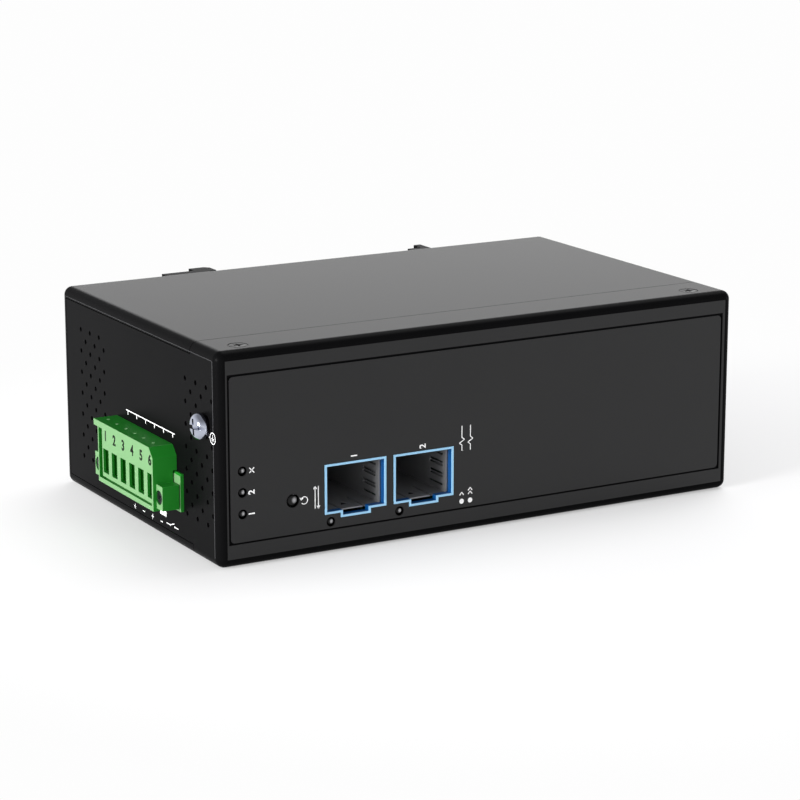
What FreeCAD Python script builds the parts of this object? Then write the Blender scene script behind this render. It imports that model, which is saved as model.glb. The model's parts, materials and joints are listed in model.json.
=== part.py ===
import FreeCAD, Part
import math
import os
import re

import Sketcher

Vector = FreeCAD.Vector

# Driving sizes in millimetres. Places along X are counted from the terminal end, places along Y
# from the front panel and places along Z from the large side that the converter lies on.
SIZES = (
    ("case_length", 140.0, "housing along X"),
    ("case_depth", 87.0, "housing along Y"),
    ("case_thickness", 50.0, "housing along Z"),
    ("case_wall", 1.2, "folded steel sheet"),
    ("edge_radius", 2.1, "outside radius of every fold"),
    ("seam_gap", 0.2, "gap between chassis and cover"),
    ("hole_sides", 8, "sides of a small hidden hole"),
    ("round_sides", 12, "sides of a small round part"),
    ("light_sides", 16, "sides of a light hole"),
    ("vent_sides", 6, "sides of a vent hole"),
    ("front_flange", 13.5, "chassis flange on both large sides"),
    ("cover_lip", 2.6, "fold of the cover beside the end panels"),
    ("tongue_length", 20.0, "cover tongue under the front flange"),
    ("tongue_width", 11.0, "cover tongue along X"),
    ("cover_screw_end", 8.0, "first cover screw from the terminal end"),
    ("cover_screw_front", 5.4, "cover screws from the front"),
    ("cover_screw_spacing", 122.7, "between the cover screws"),
    ("cover_screw_head", 2.3, "countersunk head radius"),
    ("cover_screw_shank", 1.2, "shank radius"),
    ("cover_screw_length", 5.0, "head to tip"),
    ("screw_clearance", 0.1, "radial room round a screw shank"),
    ("film_margin_side", 2.65, "overlay recess from the terminal end"),
    ("film_margin_far", 2.9, "overlay recess from the far end"),
    ("film_margin_low", 5.45, "overlay recess from the large sides"),
    ("film_recess", 0.35, "depth of the overlay recess"),
    ("film_gap", 0.35, "groove round the overlay"),
    ("film_thickness", 0.3, "printed overlay"),
    ("film_corner", 1.0, "overlay corner radius"),
    ("port_count", 2, "pluggable module ports"),
    ("port_place", 34.9, "centre of the first port"),
    ("port_pitch", 18.0, "between port centres"),
    ("port_width", 15.0, "clear opening"),
    ("port_height", 10.75, "clear opening"),
    ("port_sill", 9.75, "lower edge of the opening"),
    ("port_notch_width", 6.8, "latch notch"),
    ("port_notch_depth", 1.15, "latch notch"),
    ("port_rim", 0.5, "width of the coloured frame"),
    ("port_frame_depth", 1.75, "frame from the panel face inwards"),
    ("port_frame_proud", 0.1, "frame in front of the panel"),
    ("port_flange", 0.6, "frame flange behind the panel"),
    ("port_flange_thickness", 0.35, "frame flange behind the panel"),
    ("fit_gap", 0.05, "room between a fixed part and its cut-out"),
    ("cage_width", 14.8, "cage outside"),
    ("cage_height", 11.0, "cage outside"),
    ("cage_length", 46.0, "cage from mouth to back"),
    ("cage_wall", 0.3, "cage sheet"),
    ("cage_gap", 0.1, "between frame and cage mouth"),
    ("finger_count", 3, "spring fingers on each cage side"),
    ("finger_pitch", 2.7, "between spring fingers"),
    ("finger_width", 1.5, "spring finger"),
    ("finger_slit", 0.45, "slit beside a spring finger"),
    ("finger_length", 6.0, "spring finger along Y"),
    ("finger_start", 1.6, "spring fingers from the mouth"),
    ("finger_bow", 0.75, "how far a finger stands off the cage"),
    ("latch_tongue_width", 5.6, "cage tongue over the notch"),
    ("latch_tongue_length", 9.0, "cage tongue along Y"),
    ("latch_window", 2.6, "triangular window in the tongue"),
    ("cage_pin_length", 2.4, "cage pins through the board"),
    ("cage_pin_width", 0.6, "cage pins"),
    ("socket_width", 11.4, "module connector"),
    ("socket_height", 5.6, "module connector above the board"),
    ("socket_length", 9.0, "module connector along Y"),
    ("socket_slot_width", 9.6, "edge connector slot"),
    ("socket_slot_height", 1.5, "edge connector slot"),
    ("socket_slot_depth", 6.0, "edge connector slot"),
    ("contact_count", 10, "contacts in each row"),
    ("contact_pitch", 0.8, "between contacts"),
    ("contact_width", 0.4, "contact blade"),
    ("contact_height", 0.3, "contact blade"),
    ("light_radius", 1.15, "holes for the lights"),
    ("lens_radius", 1.0, "lens of a light"),
    ("lens_sink", 0.25, "lens tip behind the panel face"),
    ("status_place", 6.05, "status lights from the terminal end"),
    ("status_low", 12.3, "lowest status light"),
    ("status_pitch", 5.0, "between status lights"),
    ("status_count", 3, "status lights"),
    ("holder_width", 5.0, "status light holder"),
    ("holder_depth", 5.0, "status light holder"),
    ("port_light_offset", 6.45, "port light from the port centre"),
    ("port_light_place", 7.35, "port lights above the resting side"),
    ("reset_place", 18.7, "reset button from the terminal end"),
    ("reset_rise", 13.7, "reset button above the resting side"),
    ("reset_hole", 1.65, "hole radius"),
    ("reset_radius", 1.3, "button radius"),
    ("reset_sink", 0.6, "button behind the panel face"),
    ("reset_reach", 7.2, "front of the switch from the front"),
    ("reset_travel", 0.4, "button travel"),
    ("switch_width", 6.0, "reset switch"),
    ("switch_depth", 3.6, "reset switch"),
    ("switch_bore_gap", 0.3, "room round the button in the switch"),
    ("board_top", 9.2, "upper face of the board"),
    ("board_thickness", 1.6, "board"),
    ("board_front", 3.6, "board edge from the front"),
    ("board_back", 6.0, "board edge from the back"),
    ("board_side", 1.2, "board edge from the end panels"),
    ("board_slot_width", 8.4, "board slot under a latch tongue"),
    ("post_side", 19.0, "board posts from the housing's ends"),
    ("post_front", 24.0, "front posts from the front"),
    ("post_spacing", 50.0, "between posts along Y"),
    ("post_radius", 3.0, "board post"),
    ("post_stub", 2.1, "clinched stub of a post in the large side"),
    ("post_screw_radius", 1.5, "board screw shank"),
    ("post_screw_head", 2.8, "board screw head"),
    ("vent_radius", 0.65, "vent hole"),
    ("vent_pitch_along", 2.72, "between vent columns"),
    ("vent_pitch_rise", 5.3, "between vent holes in a column"),
    ("vent_columns", 6, "columns in each field"),
    ("vent_rows", 7, "holes in the longer columns"),
    ("vent_front", 2.8, "first column of the front field"),
    ("vent_rear", 62.0, "first column of the rear field"),
    ("vent_centre", 25.2, "middle of the fields"),
    ("earth_place", 6.8, "earth screw from the front"),
    ("earth_rise", 32.1, "earth screw above the resting side"),
    ("earth_head", 3.5, "head radius"),
    ("earth_head_height", 2.4, "head height"),
    ("earth_shank", 2.0, "shank radius"),
    ("earth_washer", 3.9, "washer corner radius"),
    ("earth_washer_thickness", 0.8, "washer"),
    ("earth_nut", 4.0, "clinch nut radius"),
    ("earth_nut_length", 3.0, "clinch nut"),
    ("slot_width", 0.9, "driver slot"),
    ("header_front", 18.2, "header edge from the front"),
    ("header_width", 38.2, "header along Y with its flanges"),
    ("header_height", 8.9, "header above the board"),
    ("header_depth", 12.0, "header along X"),
    ("header_proud", 0.8, "header outside the end panel"),
    ("header_wall", 1.1, "header shroud"),
    ("header_floor", 2.2, "header floor"),
    ("pole_count", 6, "poles"),
    ("pole_pitch", 5.0, "between poles"),
    ("pole_first", 48.0, "first pole from the front"),
    ("pin_size", 1.0, "header pin"),
    ("plug_proud", 6.2, "plug outside the end panel"),
    ("plug_front", 21.5, "plug edge from the front"),
    ("plug_width", 31.0, "plug along Y"),
    ("plug_height", 14.8, "plug along Z"),
    ("plug_base", 9.3, "underside of the plug"),
    ("plug_lip_shift", 2.3, "stacking lip beyond the plug's end"),
    ("plug_lip_height", 1.5, "stacking lip"),
    ("plug_nose_gap", 0.25, "room round the plug's nose"),
    ("plug_nose_length", 7.6, "plug's nose in the header"),
    ("window_width", 3.0, "wire window"),
    ("window_height", 5.8, "wire window"),
    ("window_base", 12.1, "lower edge of the wire windows"),
    ("window_depth", 4.6, "wire window"),
    ("window_end_wall", 0.9, "least wall beside the last window"),
    ("groove_depth", 0.9, "groove round the plug's face"),
    ("groove_width", 1.7, "upright groove"),
    ("groove_height", 0.6, "lower groove"),
    ("groove_edge", 0.6, "strip outside the grooves"),
    ("probe_radius", 0.4, "probe hole over each pole"),
    ("probe_shift", 3.6, "probe hole from its pole along Y"),
    ("ear_width", 3.8, "plug ear along Y"),
    ("ear_base", 10.0, "underside of the ears"),
    ("ear_height", 5.7, "plug ear along Z"),
    ("ear_sink", 0.9, "ear behind the plug's face"),
    ("ear_screw_head", 1.55, "plug screw head radius"),
    ("ear_screw_shank", 1.1, "plug screw shank radius"),
    ("ear_screw_length", 9.0, "plug screw"),
    ("chip_size", 19.0, "switch chip"),
    ("chip_height", 2.2, "switch chip"),
    ("chip_place", 90.0, "switch chip from the terminal end"),
    ("chip_depth", 44.0, "switch chip from the front"),
    ("sink_size", 27.0, "heat sink"),
    ("sink_base", 2.0, "heat sink base"),
    ("fin_height", 8.0, "heat sink fin"),
    ("fin_count", 7, "heat sink fins"),
    ("fin_thickness", 1.0, "heat sink fin"),
    ("relay_place", 15.5, "alarm relay from the terminal end"),
    ("relay_back", 34.0, "alarm relay from the front"),
    ("relay_width", 10.0, "alarm relay"),
    ("relay_length", 20.0, "alarm relay along Y"),
    ("relay_height", 10.6, "alarm relay"),
    ("coil_place", 50.0, "first power coil from the terminal end"),
    ("coil_back", 62.0, "power coils from the front"),
    ("coil_size", 12.0, "power coil"),
    ("coil_height", 6.0, "power coil"),
    ("coil_pitch", 15.0, "between power coils"),
    ("can_place", 116.0, "capacitors from the terminal end"),
    ("can_back", 30.0, "first capacitor from the front"),
    ("can_radius", 4.0, "capacitor"),
    ("can_height", 11.5, "capacitor"),
    ("can_pitch", 10.5, "between capacitors"),
    ("can_count", 3, "capacitors"),
    ("core_place", 28.0, "isolating transformer from the terminal end"),
    ("core_back", 56.0, "isolating transformer from the front"),
    ("core_size", 17.0, "isolating transformer"),
    ("core_height", 11.0, "isolating transformer"),
    ("flat_chip_place", 82.0, "first flat chip from the terminal end"),
    ("flat_chip_back", 64.0, "flat chips from the front"),
    ("flat_chip_width", 5.0, "flat chip"),
    ("flat_chip_length", 6.0, "flat chip along Y"),
    ("flat_chip_height", 1.5, "flat chip"),
    ("flat_chip_pitch", 9.0, "between flat chips"),
    ("flat_chip_count", 4, "flat chips"),
    ("clip_margin", 1.0, "clip edge from the large sides"),
    ("clip_plate", 2.0, "clip base plate"),
    ("clip_start", 29.7, "clip from the terminal end"),
    ("clip_end", 100.0, "clip plate's far edge"),
    ("rail_centre", 60.0, "rail axis from the terminal end"),
    ("rail_width", 35.0, "top-hat rail"),
    ("rail_gap", 1.5, "room for the rail's flange"),
    ("rail_room", 0.3, "room beside the rail"),
    ("hook_grip", 1.5, "hook over the rail's flange"),
    ("hook_shoulder", 5.5, "shoulder above the back"),
    ("hook_shoulder_length", 8.9, "shoulder along X"),
    ("hook_height", 8.5, "hook above the back"),
    ("hook_bevel", 1.2, "bevel at the hook's tip"),
    ("latch_width", 30.0, "latch plate along Z"),
    ("latch_rib", 25.0, "raised part of the latch along Z"),
    ("latch_plate", 2.4, "latch plate"),
    ("latch_height", 8.0, "latch above the back"),
    ("latch_end", 107.0, "pull tab from the terminal end"),
    ("latch_tab", 6.0, "pull tab along X"),
    ("latch_tab_wall", 2.0, "upturned edge of the pull tab"),
    ("latch_gap", 0.3, "running room of the latch"),
    ("guide_wall", 2.0, "latch guide"),
    ("guide_start", 81.0, "guides from the terminal end"),
    ("guide_lip", 2.0, "guide over the latch plate"),
    ("spring_window", 6.6, "latch window along Z"),
    ("spring_start", 84.5, "latch window from the terminal end"),
    ("spring_length", 10.0, "spring at rest"),
    ("spring_radius", 2.1, "coil radius"),
    ("spring_wire", 0.35, "wire radius"),
    ("spring_turns", 5, "turns"),
    ("spring_steps", 12, "sides of a turn"),
    ("lug_thickness", 2.6, "spring lug"),
    ("lug_width", 4.0, "spring lug"),
    ("clip_screw_head", 2.8, "clip screw head radius"),
    ("clip_screw_shank", 1.5, "clip screw shank radius"),
    ("clip_screw_spacing", 20.0, "clip screws along X"),
    ("clip_screw_rise", 26.0, "clip screws along Z"),
    ("clip_screw_length", 5.5, "clip screw"),
)
NAMES = {name for name, _, _ in SIZES}
WORD = re.compile(r"[a-z][a-z_0-9]*")

END = "(-case_length / 2)"
FAR = "(case_length / 2)"
FRONT = "(-case_depth / 2)"
BACK = "(case_depth / 2)"
MIDDLE = "(case_thickness / 2)"
INSIDE = f"({FRONT} + case_wall)"

doc = FreeCAD.newDocument("FibreConverter")
sheet = doc.addObject("Spreadsheet::Sheet", "Sizes")
for row, (name, value, note) in enumerate(SIZES, start=1):
    sheet.set(f"A{row}", name)
    sheet.set(f"B{row}", str(value))
    sheet.setAlias(f"B{row}", name)
    sheet.set(f"C{row}", note)
doc.recompute()


def size(name):
    return float(sheet.get(name))


def bind(thing, prop, formula):
    """Tie a property to the sheet: the sheet's names in the formula become cell references."""
    cells = WORD.sub(lambda found: "Sizes." + found.group() if found.group() in NAMES else found.group(),
                     str(formula))
    thing.setExpression(prop, cells)


def place(thing, x, y, z):
    for axis, formula in zip("xyz", (x, y, z)):
        bind(thing, "Placement.Base." + axis, formula)


def new_body(label, x="0", y="0", z="0"):
    body = doc.addObject("PartDesign::Body", label)
    body.Label = label
    body.AllowCompound = True
    place(body, x, y, z)
    return body


def origin_feature(body, role):
    return next(item for item in body.Origin.OriginFeatures if item.Role == role)


# The normal of each origin plane, as a sign on the axis that it lacks.
NORMAL = {"XY": 1, "XZ": -1, "YZ": 1}


def new_sketch(body, flat, at="0"):
    drawing = body.newObject("Sketcher::SketchObject", f"{body.Name}_{flat.lower()}_sketch")
    drawing.AttachmentSupport = (origin_feature(body, flat + "_Plane"), [""])
    drawing.MapMode = "FlatFace"
    bind(drawing, "AttachmentOffset.Base.z", f"{NORMAL[flat]} * ({at})")
    return drawing


def constrain(drawing, rules):
    """Add dimensions to a sketch: each rule is a kind, what it refers to and a formula."""
    first = drawing.ConstraintCount
    drawing.addConstraint([Sketcher.Constraint(kind, *refers, 1.0) for kind, refers, _ in rules])
    for index, (_, _, formula) in enumerate(rules, start=first):
        bind(drawing, f"Constraints[{index}]", formula)


def located(item, point, x, y):
    return [("DistanceX", (-1, 1, item, point), x), ("DistanceY", (-1, 1, item, point), y)]


def polygon(drawing, points):
    """Draw a closed outline through points given as pairs of formulas."""
    first = drawing.GeometryCount
    count = len(points)
    turns = [2 * math.pi * i / count for i in range(count + 1)]
    ring = [Vector(math.cos(turn), math.sin(turn), 0) for turn in turns]
    drawing.addGeometry([Part.LineSegment(ring[i], ring[i + 1]) for i in range(count)])
    drawing.addConstraint([Sketcher.Constraint("Coincident", first + i, 2, first + (i + 1) % count, 1)
                           for i in range(count)])
    constrain(drawing, [rule for i, (x, y) in enumerate(points) for rule in located(first + i, 1, x, y)])


def rectangle(drawing, x, y, width, height):
    polygon(drawing, ((x, y), (f"{x} + {width}", y), (f"{x} + {width}", f"{y} + {height}"), (x, f"{y} + {height}")))


def disc(drawing, x, y, radius, sides):
    """Draw a small round as a ring of equal sides, so that many of them stay light."""
    turns = [math.pi * (2 * i + 1) / sides for i in range(sides)]
    polygon(drawing, [(f"{x} + {math.cos(turn):.6f} * ({radius})", f"{y} + {math.sin(turn):.6f} * ({radius})")
                      for turn in turns])


def flat_of(drawing):
    return drawing.AttachmentSupport[0][0].Role[:2]


def pad(body, drawing, length, way=1):
    """Raise a sketch along the positive (1) or negative (-1) direction of its axis."""
    feature = body.newObject("PartDesign::Pad", body.Name + "_pad")
    feature.Profile = drawing
    feature.Reversed = NORMAL[flat_of(drawing)] * way < 0
    bind(feature, "Length", length)
    return feature


def pocket(body, drawing, length, way=1):
    """Cut a sketch along the positive (1) or negative (-1) direction of its axis."""
    doc.recompute()
    before = body.Tip.Shape.Volume
    feature = body.newObject("PartDesign::Pocket", body.Name + "_pocket")
    feature.Profile = drawing
    feature.Reversed = NORMAL[flat_of(drawing)] * way > 0
    bind(feature, "Length", length)
    doc.recompute()
    assert feature.Shape.Volume < before, f"{feature.Name} cuts nothing"
    return feature


def prism(body, flat, start, radius, length, way=1, sides="round_sides"):
    """A small round boss along an axis."""
    drawing = new_sketch(body, flat, start)
    disc(drawing, "0", "0", radius, int(size(sides)))
    return pad(body, drawing, length, way)


def revolve(body, drawing, axis="V_Axis"):
    feature = body.newObject("PartDesign::Revolution", body.Name + "_turned")
    feature.Profile = drawing
    feature.ReferenceAxis = (drawing, [axis])
    feature.Angle = 360
    return feature


def dress(body, kind, prop, formula, pick):
    """Round or bevel the edges of the body's last feature that pick accepts."""
    doc.recompute()
    base = body.Tip
    names = [f"Edge{i}" for i, edge in enumerate(base.Shape.Edges, start=1) if pick(edge)]
    feature = body.newObject(f"PartDesign::{kind}", f"{body.Name}_{kind.lower()}")
    feature.Base = (base, names)
    bind(feature, prop, formula)
    return feature


def fillet(body, radius, pick):
    return dress(body, "Fillet", "Radius", radius, pick)


def chamfer(body, depth, pick):
    return dress(body, "Chamfer", "Size", depth, pick)


def line_step(body, axis, length, count):
    """A row along an axis of the body; length reaches from the first to the last."""
    step = body.newObject("PartDesign::LinearPattern", body.Name + "_row")
    step.Direction = (origin_feature(body, axis + "_Axis"), [""])
    bind(step, "Length", length)
    bind(step, "Occurrences", count)
    return step


def mirror_step(body, flat):
    step = body.newObject("PartDesign::Mirrored", body.Name + "_mirrored")
    step.MirrorPlane = (origin_feature(body, flat + "_Plane"), [""])
    return step


def repeat(body, features, *steps):
    """Repeat features by one row or mirror, or by several in turn."""
    if len(steps) == 1:
        feature = steps[0]
        feature.Originals = features
    else:
        feature = body.newObject("PartDesign::MultiTransform", body.Name + "_grid")
        feature.Originals = features
        feature.Transformations = list(steps)
    body.Tip = feature
    return feature


def spot(edge, axis):
    """The coordinate that all of an edge's ends share on an axis, or None."""
    values = [getattr(vertex.Point, axis) for vertex in edge.Vertexes]
    return values[0] if max(values) - min(values) < 1e-6 else None


def at(edge, axis, value):
    shared = spot(edge, axis)
    return shared is not None and abs(shared - value) < 1e-4


def runs(edge, axis):
    """True for a straight edge parallel to an axis."""
    return len(edge.Vertexes) == 2 and all(spot(edge, other) is not None for other in "xyz" if other != axis)


# Housing

# Places of the cage's pins, as shares of its length.
CAGE_PIN_STEPS = (0.22, 0.5, 0.78)


def port_outline(grow, middle="0"):
    """A module port's outline with its latch notch, grown outwards all round."""
    half, notch = f"(port_width / 2 + {grow})", f"(port_notch_width / 2 + {grow})"
    sill, sole = f"port_sill - ({grow})", f"port_sill - port_notch_depth - ({grow})"
    lintel = f"port_sill + port_height + ({grow})"
    return ((f"{middle} - {half}", sill), (f"{middle} - {notch}", sill), (f"{middle} - {notch}", sole),
            (f"{middle} + {notch}", sole), (f"{middle} + {notch}", sill), (f"{middle} + {half}", sill),
            (f"{middle} + {half}", lintel), (f"{middle} - {half}", lintel))


def port_centre(index):
    return f"({END} + port_place + {index} * port_pitch)"


def light_hole(drawing, x, y, radius):
    disc(drawing, x, y, radius, int(size("light_sides")))


def small_hole(drawing, x, y, radius):
    disc(drawing, x, y, radius, int(size("hole_sides")))


def open_front(body, face, depth):
    """Cut everything that the front panel and its overlay leave open."""
    ports = new_sketch(body, "XZ", face)
    for index in range(int(size("port_count"))):
        polygon(ports, port_outline("(port_rim + fit_gap)", port_centre(index)))
    pocket(body, ports, depth)
    status = new_sketch(body, "XZ", face)
    light_hole(status, f"{END} + status_place", "status_low", "light_radius")
    repeat(body, [pocket(body, status, depth)],
           line_step(body, "Z", "(status_count - 1) * status_pitch", "status_count"))
    lamp = new_sketch(body, "XZ", face)
    light_hole(lamp, f"{port_centre(0)} - port_light_offset", "port_light_place", "light_radius")
    repeat(body, [pocket(body, lamp, depth)],
           line_step(body, "X", "(port_count - 1) * port_pitch", "port_count"))
    reset = new_sketch(body, "XZ", face)
    light_hole(reset, f"{END} + reset_place", "reset_rise", "reset_hole")
    pocket(body, reset, depth)


def vent_places():
    """Staggered columns of holes in two fields, without those that the earth washer would cover."""
    covered = size("earth_washer") + size("vent_radius")
    for first in (size("vent_front"), size("vent_rear")):
        for column in range(int(size("vent_columns"))):
            rows = int(size("vent_rows")) - (column + 1) % 2
            along = first + column * size("vent_pitch_along")
            for row in range(rows):
                rise = size("vent_centre") + (row - (rows - 1) / 2) * size("vent_pitch_rise")
                if math.hypot(along - size("earth_place"), rise - size("earth_rise")) > covered:
                    yield along - size("case_depth") / 2, rise


def vent_punches():
    """Punches for the vent holes in the terminal end panel."""
    sides, radius, half = int(size("vent_sides")), size("vent_radius"), size("case_length") / 2
    turns = [2 * math.pi * i / sides for i in range(sides + 1)]
    corners = [Vector(-half, radius * math.cos(turn), radius * math.sin(turn)) for turn in turns]
    face = Part.Face(Part.makePolygon(corners))
    punch = face.extrude(Vector(size("case_wall") + size("seam_gap"), 0, 0))
    punches = doc.addObject("Part::Feature", "vent_punches")
    punches.Shape = Part.makeCompound([punch.translated(Vector(0, y, z)) for y, z in vent_places()])
    return punches


def folded_tray(body, rim, closed, deep, way):
    """A rounded tray as wide and high as the case, open at its rim and closed by a wall."""
    outline = new_sketch(body, "XZ", closed)
    rectangle(outline, END, "0", "case_length", "case_thickness")
    pad(body, outline, deep, way)
    fillet(body, "edge_radius", lambda edge: not at(edge, "y", rim))
    cavity = new_sketch(body, "XZ", f"{closed} + {way} * case_wall")
    rectangle(cavity, f"{END} + case_wall", "case_wall", "case_length - 2 * case_wall",
              "case_thickness - 2 * case_wall")
    pocket(body, cavity, deep, way)


def front_chassis():
    """Front panel with a flange on each large side and an end panel folded back from each end."""
    body = new_body("folded_front")
    folded_tray(body, size("front_flange") - size("case_depth") / 2, FRONT, "front_flange", 1)
    for end, way in ((END, 1), (FAR, -1)):
        drawing = new_sketch(body, "YZ", end)
        rectangle(drawing, f"{FRONT} + front_flange / 2", "cover_lip + seam_gap",
                  "case_depth - front_flange / 2 - cover_lip - seam_gap",
                  "case_thickness - 2 * cover_lip - 2 * seam_gap")
        pad(body, drawing, "case_wall", way)

    recess = new_sketch(body, "XZ", FRONT)
    rectangle(recess, f"{END} + film_margin_side", "film_margin_low",
              "case_length - film_margin_side - film_margin_far", "case_thickness - 2 * film_margin_low")
    pocket(body, recess, "film_recess")
    open_front(body, FRONT, "2 * case_wall")

    gate = new_sketch(body, "YZ", END)
    rectangle(gate, f"{FRONT} + header_front - 2 * fit_gap", "board_top - 2 * fit_gap",
              "header_width + 4 * fit_gap", "header_height + 4 * fit_gap")
    small_hole(gate, f"{FRONT} + earth_place", "earth_rise", "earth_shank + 2 * screw_clearance")
    pocket(body, gate, "case_wall")

    for face, way in (("0", 1), ("case_thickness", -1)):
        countersink(body, "XY", "z", face, cover_screw_places(), "cover_screw_head", "cover_screw_shank", way)
    vented = doc.addObject("Part::Cut", "front_chassis")
    vented.Label = "front_chassis"
    vented.Base = body
    vented.Tool = vent_punches()
    return vented


def countersink(body, flat, axis, face, places, head, shank, way):
    """Clearance holes through one sheet, with a bevelled seat for a countersunk head in each."""
    bores, sides = new_sketch(body, flat, face), int(size("round_sides"))
    for x, y in places:
        disc(bores, x, y, f"{shank} + 2 * screw_clearance", sides)
    pocket(body, bores, f"{head} - {shank} + case_wall", way)
    rim = 2 * (size(shank) + 2 * size("screw_clearance")) * math.sin(math.pi / sides)
    level = 0 if face == "0" else size(face)
    chamfer(body, f"{head} - {shank} - 2 * screw_clearance + 2 * fit_gap",
            lambda edge: at(edge, axis, level) and abs(edge.Length - rim) < 1e-4)


def cover_screw_places():
    """Centres of the cover screws on one large side as pairs of formulas."""
    return [(f"{END} + cover_screw_end + {index} * cover_screw_spacing", f"{FRONT} + cover_screw_front")
            for index in range(2)]


def rear_cover():
    """Both large sides folded forward from the back, with tongues under the chassis flanges."""
    body = new_body("rear_cover")
    folded_tray(body, size("front_flange") + size("seam_gap") - size("case_depth") / 2, BACK,
                "case_depth - front_flange - seam_gap", -1)

    ends = new_sketch(body, "YZ", END)
    rectangle(ends, f"{FRONT} + front_flange", "cover_lip",
              "case_depth - front_flange - cover_lip", "case_thickness - 2 * cover_lip")
    pocket(body, ends, "case_length")

    for low, way in (("case_wall", 1), ("case_thickness - case_wall", -1)):
        tongues = new_sketch(body, "XY", low)
        for index in range(2):
            rectangle(tongues,
                      f"{END} + cover_screw_end + {index} * cover_screw_spacing - tongue_width / 2",
                      f"{FRONT} + edge_radius + seam_gap", "tongue_width", "tongue_length")
        pad(body, tongues, "case_wall", way)
    taps = new_sketch(body, "XY", "case_thickness")
    for x, y in cover_screw_places():
        small_hole(taps, x, y, "cover_screw_shank + 2 * screw_clearance")
    pocket(body, taps, "case_thickness", -1)

    back_taps = new_sketch(body, "XZ", BACK)
    for x, z in clip_screw_places():
        small_hole(back_taps, x, z, "clip_screw_shank + 2 * screw_clearance")
    pocket(body, back_taps, "case_wall", -1)
    posts = new_sketch(body, "XY", "0")
    for x, y in post_places():
        small_hole(posts, x, y, "post_stub + fit_gap")
    pocket(body, posts, "case_wall")
    return body


def front_overlay():
    """Printed film that lies in the front panel's recess."""
    body = new_body("front_overlay")
    film = new_sketch(body, "XZ", f"{FRONT} + film_recess")
    rectangle(film, f"{END} + film_margin_side + film_gap", "film_margin_low + film_gap",
              "case_length - film_margin_side - film_margin_far - 2 * film_gap",
              "case_thickness - 2 * film_margin_low - 2 * film_gap")
    pad(body, film, "film_thickness", -1)
    fillet(body, "film_corner", lambda edge: runs(edge, "y"))
    open_front(body, FRONT, "case_wall")
    return body


def cover_screws():
    """Two countersunk screws on each large side, through the flange into the cover's tongue."""
    body = new_body("cover_screws", f"{END} + cover_screw_end", f"{FRONT} + cover_screw_front", MIDDLE)
    countersunk_screws(body, "XY", "z", "case_thickness / 2", size("case_thickness") / 2, "cover_screw",
                       lambda: (line_step(body, "X", "cover_screw_spacing", 2), mirror_step(body, "XY")))
    return body


def countersunk_screws(body, flat, axis, top, level, kind, steps):
    """Countersunk screws of one kind that point down an axis from a face: top as a formula, level as a number."""
    head, shank = kind + "_head", kind + "_shank"
    deep = f"{head} - {shank}"
    repeat(body, [prism(body, flat, f"{top} - fit_gap", f"{head} - fit_gap", f"{deep} + fit_gap", -1)], *steps())
    neck = level - size(head) + size(shank) - 2 * size("fit_gap")
    chamfer(body, deep, lambda edge: at(edge, axis, neck) or at(edge, axis, -neck))
    repeat(body, [prism(body, flat, f"{top} - fit_gap", f"{shank} - fit_gap", kind + "_length", -1, "hole_sides")],
           *steps())


def cross_outline(drawing, arm, half_slot):
    """A driver cross centred on the sketch's origin."""
    polygon(drawing, ((f"-{arm}", f"-{half_slot}"), (f"-{half_slot}", f"-{half_slot}"),
                      (f"-{half_slot}", f"-{arm}"), (half_slot, f"-{arm}"), (half_slot, f"-{half_slot}"),
                      (arm, f"-{half_slot}"), (arm, half_slot), (half_slot, half_slot), (half_slot, arm),
                      (f"-{half_slot}", arm), (f"-{half_slot}", half_slot), (f"-{arm}", half_slot)))


# Module ports

def port_frame(index):
    """Coloured snap-in frame that lines the panel's cut-out."""
    body = new_body(f"port_frame_{index + 1}", port_centre(index))
    rim = new_sketch(body, "XZ", f"{FRONT} - port_frame_proud")
    polygon(rim, port_outline("port_rim"))
    polygon(rim, port_outline("0"))
    pad(body, rim, "port_frame_depth + port_frame_proud")
    flange = new_sketch(body, "XZ", f"{INSIDE} + fit_gap")
    polygon(flange, port_outline("port_rim + port_flange"))
    polygon(flange, port_outline("port_rim / 2"))
    pad(body, flange, "port_flange_thickness")
    return body


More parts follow.
